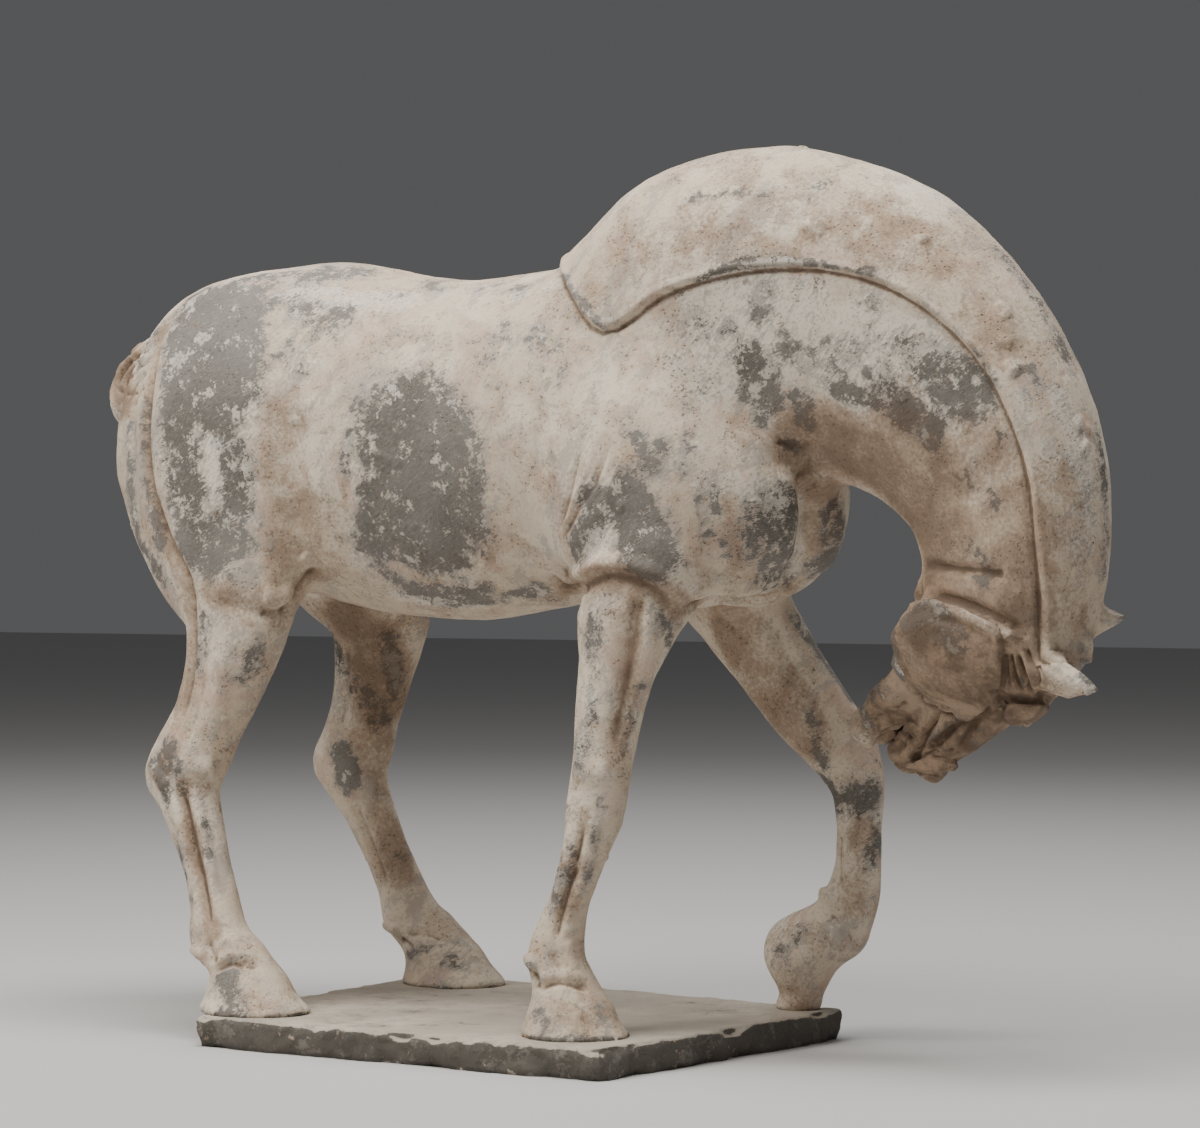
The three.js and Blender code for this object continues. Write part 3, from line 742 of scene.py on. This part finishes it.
def makeHorse():
    piece = mergedCopy("horse", "potteryHorse")
    applied(piece, ("REMESH", {"mode": "VOXEL", "voxel_size": horse["voxel"] * mm}))
    rounds = (1.5 / horse["voxel"]) ** 2
    light = smoothCoords(piece, round(horse["lightSmoothing"] * rounds))
    heavy = smoothCoords(piece, round(horse["heavySmoothing"] * rounds))
    coords = coordsOf(piece.data)
    # the CAD's grid is smoothed away, less so on the head, the soles and the tail
    local = inHead(coords)
    fine = ease(-np.linalg.norm((local - (60, 0, -18)) / (1.35, 1, 1), axis=1), -78, -50)
    fine = np.maximum(fine, ease(-coords[:, 2], -0.022, -0.016))
    tail = np.linalg.norm(coords - (-0.240, -0.007, 0.322), axis=1)
    fine = np.maximum(fine, ease(-tail, -0.036, -0.022))
    setCoords(piece.data, heavy + (light - heavy) * fine[:, None])
    # more clay to work with on the head
    bm = bmesh.new()
    bm.from_mesh(piece.data)
    middle = headFrame @ (Vector((62, 0, -20)) * mm)
    worked = [f for f in bm.faces if (f.calc_center_median() - middle).length < horse["headReach"]
              and f.calc_center_median().z < horse["headTop"]]
    edges = list({e for f in worked for e in f.edges})
    bmesh.ops.subdivide_edges(bm, edges=edges, cuts=1, use_grid_fill=True)
    bmesh.ops.triangulate(bm, faces=[f for f in bm.faces if len(f.verts) > 4])
    bm.to_mesh(piece.data)
    bm.free()
    print("horse roughed out,", len(piece.data.vertices), "vertices")

    skin = Skin(piece)
    depth = maneDepth(skin.coords)
    near = (skin.coords[:, 2] > maneLowest) & (np.abs(skin.coords[:, 1] - maneShift) < maneHalfWidth)
    lip = np.exp(-((depth - 2.0) / 1.8) ** 2) * horse["maneLip"]
    groove = np.exp(-((depth + 1.8) / 1.6) ** 2) * horse["maneGroove"]
    skin.coords += skin.normals * ((lip - groove) * near * mm)[:, None]
    skin.commit()
    carveStrokes(
        skin, (thighStrokes, mirroredInBody), (shoulderStrokes, None), (elbowStrokes, mirroredInBody),
        (chestStrokes, None), (flankStrokes, mirroredInBody), (legStrokes, None))
    raisePads(skin, headPads)
    carveStrokes(skin, (headStrokes, mirroredInHead))
    shapeEyes(skin)
    shapeTail(skin)
    carveStrokes(skin, (tailStrokes, None))
    scatterScabs(skin, horse["chanceScabs"])
    print("horse carved")

    # hand-smoothed clay is never quite even
    calm = ease(skin.coords[:, 2], 0.0155, 0.019)
    swell = np.empty(len(skin.coords))
    for i, spot in enumerate(skin.coords.tolist()):
        swell[i] = noise.noise(Vector(spot) * 34) + 0.35 * noise.noise(Vector(spot) * 150)
    skin.coords += skin.normals * (swell * calm * horse["unevenness"] * mm)[:, None]
    # slip wells up round the soles, which sink a little into the slab
    flare = ease(-skin.coords[:, 2], -0.0235, -0.0156) * (1.1 + swell * 0.8)
    skin.coords[:, :2] += skin.normals[:, :2] * (flare * horse["footFlare"] * mm)[:, None]
    low = skin.coords[:, 2] < horse["soleTop"]
    skin.coords[low, 2] = horse["soleLevel"]
    skin.commit()
    count = sum(len(p.vertices) - 2 for p in piece.data.polygons)
    if count > horse["triangles"]:
        applied(piece, ("DECIMATE", {"ratio": horse["triangles"] / count}))
    setCoords(piece.data, keptInside(coordsOf(piece.data)))
    print("horse finished,", len(piece.data.polygons), "faces")
    return piece


# where the slip has worn off: the line in the picture, then half width in mm and how much is gone
wornPlaces = [
    ((405, 425), (425, 445), (428, 500), (425, 530), 27, 1),
    ((385, 430), (380, 490), (372, 545), 13, 0.85),
    ((462, 430), (466, 500), (460, 548), 12, 0.8),
    ((222, 312), (216, 350), (214, 385), 29, 1.02),
    ((180, 340), (178, 430), (188, 500), 13, 0.88),
    ((240, 310), (254, 350), (250, 390), 10, 0.8),
    ((190, 520), (204, 552), (232, 548), 13, 0.95),
    ((222, 420), (236, 470), (232, 520), 10, 0.7),
    ((200, 300), (240, 284), (290, 276), (350, 272), 13, 0.68),
    ((300, 315), (340, 322), 12, 0.6),
    ((285, 350), (302, 368), 7, 0.62),
    ((372, 376), (355, 415), (345, 470), 5, 0.62),
    ((420, 282), (470, 290), (530, 285), 7, 0.5),
    ((500, 330), (545, 345), (552, 380), 8, 0.5),
    ((480, 590), (420, 590), (380, 570), 8, 0.7),
    ((440, 602), (500, 600), (540, 590), 6, 0.7),
    ((626, 500), (640, 530), (654, 556), 13, 1),
    ((592, 500), (586, 530), (578, 548), 11, 0.78),
    ((640, 438), (647, 470), 4.5, 0.6),
    ((650, 440), (664, 462), 8, 0.5),
    ((714, 486), (713, 510), 2.2, 0.9),
    ((780, 505), (784, 540), (776, 575), 13, 0.72),
    ((758, 510), (752, 545), 8, 0.6),
    ((832, 515), (835, 545), (822, 570), 9, 0.85),
    ((750, 356), (760, 384), (766, 396), 9, 0.82),
    ((744, 392), (756, 404), (760, 420), 5, 0.7),
    ((762, 296), (758, 318), 6, 0.6),
    ((735, 350), (728, 330), 7, 0.5),
    ((782, 350), (806, 358), 8, 0.55),
    ((830, 345), (852, 352), 8, 0.52),
    ((808, 424), (800, 418), 6, 0.8),
    ((790, 444), (796, 446), 4, 0.95),
    ((798, 400), (806, 408), 6, 0.75),
    ((948, 372), (972, 398), 14, 0.78),
    ((890, 340), (915, 350), 7, 0.4),
    ((838, 390), (872, 399), (900, 412), 5.5, 0.9),
    ((880, 398), (905, 412), (930, 434), 9, 0.88),
    ((816, 370), (850, 376), (880, 376), 7, 0.52),
    ((968, 465), (990, 500), 9, 0.55),
    ((972, 548), (984, 575), 8, 0.55),
    ((1001, 436), (1003, 438), 3.2, 0.95),
    ((1098, 430), (1106, 500), (1104, 570), 5, 0.6),
    ((1028, 372), (1034, 392), 5, 0.6),
    ((1000, 252), (1040, 305), (1072, 370), 5, 0.55),
    ((806, 206), (820, 184), 5, 0.6),
    ((690, 200), (730, 193), (768, 196), 3, 0.62),
    ((700, 280), (740, 264), (800, 262), (870, 272), 2.6, 0.75),
    ((560, 268), (580, 300), (606, 330), 2.4, 0.7),
    ((168, 745), (182, 790), 6, 0.6),
    ((340, 755), (348, 775), 10, 0.9),
    ((330, 640), (350, 680), (380, 720), 8, 0.6),
    ((388, 640), (398, 690), 7, 0.75),
    ((180, 850), (190, 900), 4, 0.6),
    ((226, 984), (230, 1012), 8, 0.66),
    ((440, 955), (452, 962), 8, 0.5),
    ((600, 640), (592, 700), (580, 760), 5, 0.55),
    ((640, 690), (625, 740), 5, 0.5),
    ((575, 850), (565, 880), 4, 0.6),
    ((532, 970), (540, 980), 5, 0.5),
    ((818, 792), (842, 804), (868, 798), 9, 0.8),
    ((812, 712), (818, 745), (824, 765), 5, 0.78),
    ((862, 700), (868, 722), 4, 0.8),
    ((874, 800), (878, 850), 5, 0.6),
    ((798, 622), (826, 656), (848, 694), 6, 0.86),
    ((872, 840), (868, 870), 4, 0.7),
    ((906, 622), (922, 612), (944, 618), (962, 634), 5, 0.85),
    ((935, 640), (955, 645), (972, 655), 4, 0.7),
    ((894, 636), (893, 655), (900, 674), 4.5, 0.8),
    ((868, 700), (880, 690), (896, 700), 5, 0.62),
    ((930, 740), (955, 722), (975, 720), 4, 0.6),
    ((975, 742), (990, 722), 4, 0.6),
    ((1016, 660), (1024, 690), 3, 0.5),
    ((1085, 665), (1097, 688), 4, 0.62),
    ((1110, 618), (1122, 616), 5, 0.8),
    ((130, 500), (140, 545), (160, 575), 7, 0.6),
    ((133, 430), (130, 490), 6, 0.6),
    ((152, 400), (149, 470), (160, 540), 6, 0.62),
    ((567, 810), (560, 860), (552, 908), 4, 0.52),
    ((602, 800), (594, 850), (588, 880), 3.2, 0.5),
    ((202, 800), (212, 860), 3.4, 0.5),
    ((158, 762), (168, 800), 5, 0.75),
    ((592, 610), (590, 650), 5, 0.55),
    ((700, 500), (706, 532), 3, 0.62),
    ((724, 530), (727, 556), 3.4, 0.46),
    ((690, 440), (684, 470), 5, 0.5),
    ((535, 1000), (541, 1028), 5, 0.6),
    ((600, 1010), (606, 1030), 4, 0.5),
    ((410, 960), (430, 955), 7, 0.6),
    ((775, 960), (800, 930), 6, 0.5),
    ((655, 610), (668, 640), (660, 700), 4, 0.6),
    ((205, 620), (200, 660), 5, 0.5),
    ((258, 640), (246, 680), 5, 0.5),
    ((140, 360), (150, 340), 8, 0.5),
]

# reddish earth, thickest in hollows; the strongest marks are painted shade laid with the earth, on the
# throat and under the neck, on the cheek and face, and on the far hind leg
earthAndShadePlaces = [
    # painted shade with earth: the throat and the neck's right side
    ((900, 440), (935, 480), (945, 540), (930, 590), 22, 1.25),
    ((980, 450), (1000, 520), (1000, 600), 20, 0.95),
    ((880, 400), (930, 440), (970, 500), 12, 0.55),
    ((1060, 480), (1078, 560), (1070, 620), 10, 0.6),
    # painted shade with earth: high on the far hind leg
    ((350, 620), (372, 650), (384, 700), 20, 1.35),
    ((560, 780), (575, 830), (565, 890), 10, 0.5),
    ((175, 640), (180, 720), (160, 780), 7, 0.7),
    ((183, 786), (193, 832), (204, 882), (214, 934), 5, 1),
    ((585, 818), (575, 866), (562, 914), 4, 0.8),
    ((700, 230), (760, 215), (850, 220), (930, 260), (1000, 320), 24, 0.6),
    ((600, 270), (640, 250), (690, 240), 18, 0.55),
    # painted shade with earth: under the neck
    ((812, 440), (850, 452), (890, 470), (920, 520), 20, 1.4),
    ((815, 475), (830, 500), (822, 540), 10, 0.85),
    ((290, 420), (292, 480), (300, 560), (285, 600), 17, 0.62),
    ((330, 480), (345, 530), 10, 0.4),
    ((163, 331), (147, 437), (169, 541), (190, 610), (190, 700), 5, 0.9),
    ((570, 588), (600, 574), (650, 580), (678, 605), 8, 0.95),
    ((636, 590), (634, 660), (620, 740), 5, 0.8),
    ((580, 470), (562, 540), 6, 0.7),
    ((700, 600), (750, 600), (790, 590), 9, 0.7),
    ((730, 620), (770, 690), (810, 740), 16, 0.85),
    ((390, 800), (400, 880), 10, 0.6),
    ((340, 620), (370, 680), (375, 760), 13, 0.8),
    ((560, 1000), (600, 1020), 18, 0.5),
    ((790, 930), (820, 960), (800, 990), 18, 0.35),
    ((860, 830), (850, 900), 10, 0.6),
    ((1040, 470), (1046, 560), (1046, 620), 7, 0.8),
    ((1060, 600), (1075, 620), 10, 0.6),
    # painted shade with earth: the cheek
    ((915, 640), (950, 665), (985, 690), 32, 1.35),
    ((120, 350), (126, 400), 12, 1.2),
    ((728, 500), (733, 560), (728, 602), 5, 0.6),
    ((690, 560), (700, 590), 6, 0.5),
    # painted shade with earth: the face, in these two marks
    ((890, 720), (930, 750), 18, 1.1),
    ((960, 740), (1000, 720), 16, 1.4),
    ((1015, 670), (1030, 690), 9, 0.9),
    ((640, 480), (700, 470), (745, 440), 17, 0.35),
    ((430, 570), (480, 560), 14, 0.4),
    ((560, 420), (560, 480), 12, 0.45),
    ((210, 590), (250, 610), (290, 612), 10, 0.7),
    ((230, 1000), (250, 1015), 14, 0.35),
    ((1010, 560), (960, 480), (930, 430), 14, 0.35),
]

# whiter lime on the slip
chalkPlaces = [
    ((705, 300), (722, 340), (718, 385), 14, 0.62),
    ((700, 475), (742, 480), 11, 0.55),
    ((785, 935), (800, 965), 12, 0.5),
    ((660, 330), (690, 380), 12, 0.35),
    ((922, 604), (945, 604), (975, 614), (1002, 628), 4.5, 1.1),
    ((905, 648), (912, 664), (925, 672), 6, 0.75),
    ((1045, 655), (1070, 668), (1088, 682), 6, 0.5),
    ((864, 740), (874, 732), 4, 0.6),
    ((748, 300), (775, 330), (830, 345), (890, 352), (925, 378), 24, 0.95),
    ((725, 312), (728, 345), (724, 384), 8, 0.8),
    ((770, 410), (810, 440), 10, 0.6),
    ((770, 292), (860, 296), (920, 320), 10, 0.6),
    ((212, 425), (222, 470), (226, 505), 9, 0.95),
    ((240, 470), (248, 520), 7, 0.7),
    ((300, 290), (360, 300), (430, 300), 11, 0.6),
    ((1062, 400), (1084, 470), (1082, 560), 9, 0.6),
    ((757, 492), (775, 505), (768, 525), 7, 0.9),
    ((798, 500), (800, 545), (793, 572), 3.4, 0.9),
    ((592, 500), (602, 530), (596, 550), 8, 0.8),
    ((660, 575), (690, 582), 8, 0.6),
    ((395, 596), (480, 606), 7, 0.7),
    ((500, 300), (560, 280), 8, 0.5),
    ((1010, 380), (1040, 440), (1058, 520), 6, 0.55),
]


def blotches(skin, places, seed, count, size, amount):
    # marks at the given places, and chance ones on the side that the camera doesn't see
    facing = skin.normals @ np.array(viewAlong)
    seen, unseen = 1 - ease(facing, 0, 0.4), ease(facing, -0.1, 0.25)
    marks = np.zeros(len(skin.coords))

    def dab(line, width, strength, shown):
        picked, away, _ = skin.near(line, width * 1.5 * mm)
        mark = strength * (1 - ease(away / mm / width, 0.45, 1.5)) * shown[picked]
        marks[picked] = np.maximum(marks[picked], mark)

    for *points, width, strength in places:
        dab(liftedLine(skin, points), width, strength, seen)
    chance = np.random.default_rng(seed)
    hidden = np.flatnonzero((facing > 0.15) & (skin.coords[:, 2] > 0.02))
    for spot in chance.choice(hidden, count):
        width = chance.uniform(*size)
        middle = skin.coords[spot]
        end = skin.onto(middle + chance.normal(0, 1, 3) * (0.022, 0.01, 0.03))
        dab([middle, end], width, chance.uniform(*amount), unseen)
    return marks


def setMarks(mesh, name, values, kind="FLOAT"):
    held = mesh.attributes.new(name, kind, "POINT")
    field = "vector" if kind == "FLOAT_VECTOR" else "value"
    held.data.foreach_set(field, values.astype(np.float32).ravel())


def hollowness(piece, times):
    # above zero in hollows, below zero on edges, in mm
    coords = coordsOf(piece.data)
    return ((smoothCoords(piece, times) - coords) * normalsOf(piece.data)).sum(1) / mm


def markHorse(piece):
    skin = Skin(piece)
    mesh = piece.data
    setMarks(mesh, "worn", blotches(skin, wornPlaces, 11, 70, (5, 24), (0.45, 0.95)))
    setMarks(mesh, "earthAndShade", blotches(skin, earthAndShadePlaces, 23, 46, (8, 24), (0.4, 0.9)))
    setMarks(mesh, "chalk", blotches(skin, chalkPlaces, 31, 14, (7, 18), (0.4, 0.8)))
    setMarks(mesh, "hollow", hollowness(piece, 14))
    near = (skin.coords[:, 2] > maneLowest) & (np.abs(skin.coords[:, 1]) < maneHalfWidth)
    setMarks(mesh, "mane", ease(maneDepth(skin.coords), 0, 2) * near)
    # coordinates that run along the hairs, round the neck's arc
    arm = skin.coords[:, [0, 2]] - maneCentre
    reach = np.linalg.norm(arm, axis=1)
    sweep = np.arctan2(arm[:, 1], arm[:, 0]) * maneReach
    setMarks(mesh, "combed", np.stack([reach, sweep, skin.coords[:, 1]], 1), "FLOAT_VECTOR")
    local = inHead(skin.coords)
    # how far into the face, which is painted darker with brown stain and painted shade
    face = ease(-np.linalg.norm((local - (60, 0, -22)) / (1.5, 1, 1), axis=1), -60, -42)
    setMarks(mesh, "face", face)


pottery = {
    "slip": (0.57, 0.475, 0.36),
    "slipPale": (0.69, 0.61, 0.495),
    "slipWarm": (0.47, 0.36, 0.262),
    "blush": (0.50, 0.355, 0.275),
    "clay": (0.185, 0.170, 0.150),
    "clayDark": (0.115, 0.103, 0.088),
    "clayDeep": (0.072, 0.064, 0.054),
    "clayPale": (0.31, 0.298, 0.275),
    # reddish earth, also laid on as painted shade
    "earthAndShade": (0.31, 0.218, 0.148),
    # darkest earth, also used for painted shade in creases and under the neck
    "darkEarthAndShade": (0.125, 0.086, 0.058),
    # grey-brown that dulls the slab, painted shade
    "paintedSlabShade": (0.36, 0.325, 0.275),
    "lime": (0.70, 0.645, 0.555),
    "bloom": (0.60, 0.55, 0.47),  # whitish lime left on the bare clay
}


def slippedPottery(name, slab=False):
    f = Finish(name)
    worn = f.attribute("worn")
    earthAndShadeMark = f.attribute("earthAndShade")
    hollow = f.attribute("hollow")
    broad = f.noise(16, 3, 0.5)
    patchy = f.noise(46, 6, 0.62, 0.4)
    ragged = f.noise(130, 8, 0.72, 0.15)
    fine = f.noise(620, 4, 0.6)
    speck = f.noise(1500, 2, 0.5)
    brushed = f.noise(120, 4, 0.6, 0.3, f.stretched((0, 38, 0), (0.14, 1.0, 1.0)))
    wiped = f.noise(240, 5, 0.65, 0.2, f.stretched((12, 62, 0), (0.10, 1.0, 1.0)))

    # the slip is gone where the mark is strong, with ragged and brushed edges
    chalk = f.attribute("chalk") if not slab else worn * 0.6
    uneven = (patchy - 0.5) * 1.6 + (ragged - 0.5) * 2.3 + (fine - 0.5) * 0.3
    bare = worn * 0.95 + uneven + (wiped - 0.5) * 1.3 + (hollow * -0.25).limited()
    bare = bare + chalk * 0.12
    gone = bare.step(0.60, 0.70)
    thin = (bare + (brushed - 0.5) * 1.8 + (fine - 0.5) * 0.8).step(0.08, 0.68)

    slip = f.mix(broad.step(0.35, 0.66), pottery["slipPale"], pottery["slip"])
    slip = f.mix(patchy.step(0.45, 0.62) * 0.85, slip, pottery["slipWarm"])
    blush = f.noise(30, 5, 0.7, 0.6)
    slip = f.mix(blush.step(0.50, 0.62) * 0.68, slip, pottery["blush"])
    slip = f.mix(brushed.step(0.50, 0.66) * 0.45, slip, pottery["slipPale"])
    limed = (chalk + (patchy - 0.5) * 1.7 + (ragged - 0.5) * 1.2).step(0.40, 0.68)
    slip = f.mix(limed * 0.75, slip, pottery["lime"])
    slip = f.mix(thin * 0.72, slip, pottery["clayPale"])
    film = f.noise(26, 9, 0.74, 0.2, f.stretched((20, 34, 0), (0.45, 1.0, 1.0)))
    slip = f.mix((film + (fine - 0.5) * 0.25).step(0.53, 0.595) * 0.52, slip, pottery["clayPale"])
    dust = (fine * 0.6 + speck * 0.4).step(0.53, 0.62)
    slip = f.mix(dust * 0.6, slip, pottery["slipWarm"])
    grit = (f.noise(330, 5, 0.7, 0.5) * 0.7 + speck * 0.3 + (patchy - 0.5) * 0.35).step(0.60, 0.65)
    slip = f.mix(grit * 0.75, slip, pottery["darkEarthAndShade"])
    clay = f.mix(broad.step(0.36, 0.62), pottery["clayDark"], pottery["clay"])
    clay = f.mix(wiped.step(0.50, 0.70) * 0.6, clay, pottery["clayPale"])
    flakes = f.noise(75, 7, 0.72, 0.1) + (fine - 0.5) * 0.3 + (patchy - 0.5) * 0.3 + chalk * 0.05
    clay = f.mix(flakes.step(0.575, 0.615) * 0.8, clay, pottery["bloom"])
    scuffed = f.noise(420, 3, 0.6, 0.1, f.stretched((40, 28, 0), (0.12, 1.0, 1.0)))
    clay = f.mix(scuffed.step(0.52, 0.64) * 0.35, clay, pottery["clayPale"])

    # earth lies in hollows and as a wash over what is left of the slip; the strongest marks, and the
    # hollows, also carry painted shade
    earthAndShadeLevel = earthAndShadeMark * 0.95 + (hollow * 0.85).limited() * 0.9 + (patchy - 0.5) * 1.7 + (fine - 0.5) * 1.1
    earthAndShadeWash = earthAndShadeLevel.step(0.18, 1.05)
    stainedAndShaded = f.mix(earthAndShadeWash * 0.8, slip, pottery["earthAndShade"])
    if not slab:
        # the face is painted darker, brown stain together with painted shade under the arch of the neck,
        # and its creases darken more
        face = f.attribute("face")
        faceStainAndShadeMix = (patchy * 0.6 + ragged * 0.4).step(0.45, 0.58)
        faceStainAndShade = f.mix(faceStainAndShadeMix, pottery["earthAndShade"], pottery["darkEarthAndShade"])
        stainedAndShaded = f.mix(face * (1 - limed * 0.8) * 0.8, stainedAndShaded, faceStainAndShade)
        hollow = hollow * (face * 1.2 + 1)
    colour = f.mix(gone, stainedAndShaded, f.mix(earthAndShadeWash * 0.45, clay, pottery["darkEarthAndShade"]))
    # painted shade in creases and hollows, laid over the earth that collects there; deeper on the face
    colour = f.mix((hollow * 1.3).limited().step(0.25, 1.0) * 0.7, colour, pottery["darkEarthAndShade"])
    # painted shade: where the earth marks run strongest, on the throat, under the neck, on the cheek, the
    # face and the far hind leg, the colour goes darker still
    colour = f.mix(earthAndShadeLevel.step(0.85, 1.45) * 0.55, colour, pottery["darkEarthAndShade"])
    crust = (f.noise(95, 2, 0.5) * 0.5 + f.noise(420, 3, 0.6) * 0.5).step(0.615, 0.66)
    colour = f.mix(crust * 0.45, colour, pottery["earthAndShade"])
    pits = f.node("ShaderNodeTexVoronoi", None, {"Vector": f.place, "Scale": 380})
    pit = (1 - pits.step(0.10, 0.26)) * patchy.step(0.44, 0.60)
    colour = f.mix(pit * 0.6, colour, pottery["darkEarthAndShade"])

    if slab:
        cut = f.attribute("cut")
        # painted shade: the whole slab's slip is dulled grey-brown, as if under the horse's shadow
        colour = f.mix(broad.step(0.3, 0.7) * 0.3 + 0.6, colour, pottery["paintedSlabShade"])
        edge = (cut * 1.06 + (ragged - 0.5) * 1.5 + (patchy - 0.5) * 2.4).step(0.40, 0.60)
        colour = f.mix(edge * 0.92, colour, f.mix(0.8, clay, pottery["clayDeep"]))
        colour = f.mix(edge * crust * 0.7, colour, pottery["slipWarm"])
    else:
        combed = f.attribute("combed", "Vector")
        mane = f.attribute("mane")
        hair = f.noise(1, 3, 0.55, 0.1, f.node(
            "ShaderNodeVectorMath", {"operation": "MULTIPLY"}, [combed, (1500, 60, 1500)]))
        colour = f.mix(mane * hair.step(0.50, 0.68) * 0.22, colour, pottery["earthAndShade"])

    height = (1 - gone) * 0.45 + fine * 0.22 + ragged * 0.30 + speck * 0.10 + crust * 0.5
    height = height - pit * 0.5 - grit * 0.3 + brushed * 0.12 + wiped * 0.16
    if not slab:
        height = height + mane * hair * 0.22
    f.into("Normal", f.bump(height, 0.0011, 0.62))
    f.into("Base Color", colour)
    f.into("Roughness", (0.93 - gone * 0.20 + (fine - 0.5) * 0.1).limited())
    f.shader.inputs["Specular IOR Level"].default_value = 0.32
    f.shader.inputs["Metallic"].default_value = 0
    return f.material


def coat(piece, material):
    piece.data.materials.clear()
    piece.data.materials.append(material)
    for face in piece.data.polygons:
        face.use_smooth = True


horsePiece = makeHorse()
markHorse(horsePiece)
coat(horsePiece, slippedPottery("slippedPottery"))
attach(horsePiece, "root")
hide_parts("horse")


# the slab

slab = {
    "voxel": 1.6,
    "chips": 2.0,
    "waviness": 2.2,
    "rimLoss": 1.9,
    "unevenness": 0.25,
}


def makeSlab():
    piece = mergedCopy("plinth", "potterySlab")
    applied(piece, ("REMESH", {"mode": "VOXEL", "voxel_size": slab["voxel"] * mm}))
    setCoords(piece.data, smoothCoords(piece, 7))
    skin = Skin(piece)
    low, high = skin.coords.min(0), skin.coords.max(0)
    level = (skin.coords[:, 2] - low[2]) / (high[2] - low[2])
    # the sides' cuts carry the rims along with them
    side = np.flatnonzero(np.abs(skin.normals[:, 2]) < 0.35)
    sides = KDTree(len(side))
    for i, (x, y, _) in enumerate(skin.coords[side].tolist()):
        sides.insert((x, y, 0), i)
    sides.balance()
    found = [sides.find((x, y, 0)) for x, y, _ in skin.coords.tolist()]
    outward = skin.normals[side[[f[1] for f in found]]] * (1, 1, 0)
    outward /= np.linalg.norm(outward, axis=1)[:, None]
    upright = ease(-np.array([f[2] for f in found]) / mm, -6, -0.5)
    rough = np.empty(len(skin.coords))
    wave = np.empty(len(skin.coords))
    for i, (x, y, z) in enumerate(skin.coords.tolist()):
        rough[i] = noise.fractal(Vector((x, y, z * 1.3)) * 42, 0.9, 2.1, 5)
        wave[i] = noise.noise(Vector((x, y, 0.3)) * 17) + 0.4 * noise.noise(Vector((x, y, 0.7)) * 90)
    cut = slab["chips"] * np.clip(0.5 + rough * 1.3, 0, 2.2) + slab["waviness"] * (0.4 + wave)
    cut += 1.0 * ease(-level, -0.5, -0.1) * np.clip(rough + 0.4, 0, 1)
    skin.coords -= outward * (np.maximum(cut, -0.2) * upright * mm)[:, None]
    # the rim is knocked off here and there
    rim = upright * ease(level, 0.6, 0.95)
    skin.coords[:, 2] -= rim * np.clip(rough * 1.6 + 0.3, 0, 1.6) * slab["rimLoss"] * mm
    top = ease(level, 0.8, 1.0) * (1 - upright)
    skin.coords[:, 2] += (wave * slab["unevenness"] - 0.3) * top * mm
    under = (skin.normals[:, 2] < -0.5) & (level < 0.1)
    skin.coords[under, 2] = low[2]
    skin.coords = keptInside(skin.coords)
    skin.commit()
    print("slab finished,", len(piece.data.polygons), "faces")
    return piece


def markSlab(piece):
    skin = Skin(piece)
    mesh = piece.data
    edge = ease(1 - skin.normals[:, 2], 0.25, 0.75)
    chance = np.array([noise.noise(Vector(c) * 22) for c in skin.coords.tolist()])
    setMarks(mesh, "cut", edge)
    setMarks(mesh, "worn", np.clip(0.12 + chance * 0.5, 0, 0.42) + edge * 0.3)
    setMarks(mesh, "earthAndShade", np.clip(0.08 + chance * 0.5, 0, 1))
    setMarks(mesh, "hollow", hollowness(piece, 10))


slabPiece = makeSlab()
markSlab(slabPiece)
coat(slabPiece, slippedPottery("slabPottery", slab=True))
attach(slabPiece, "root")
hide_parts("plinth")
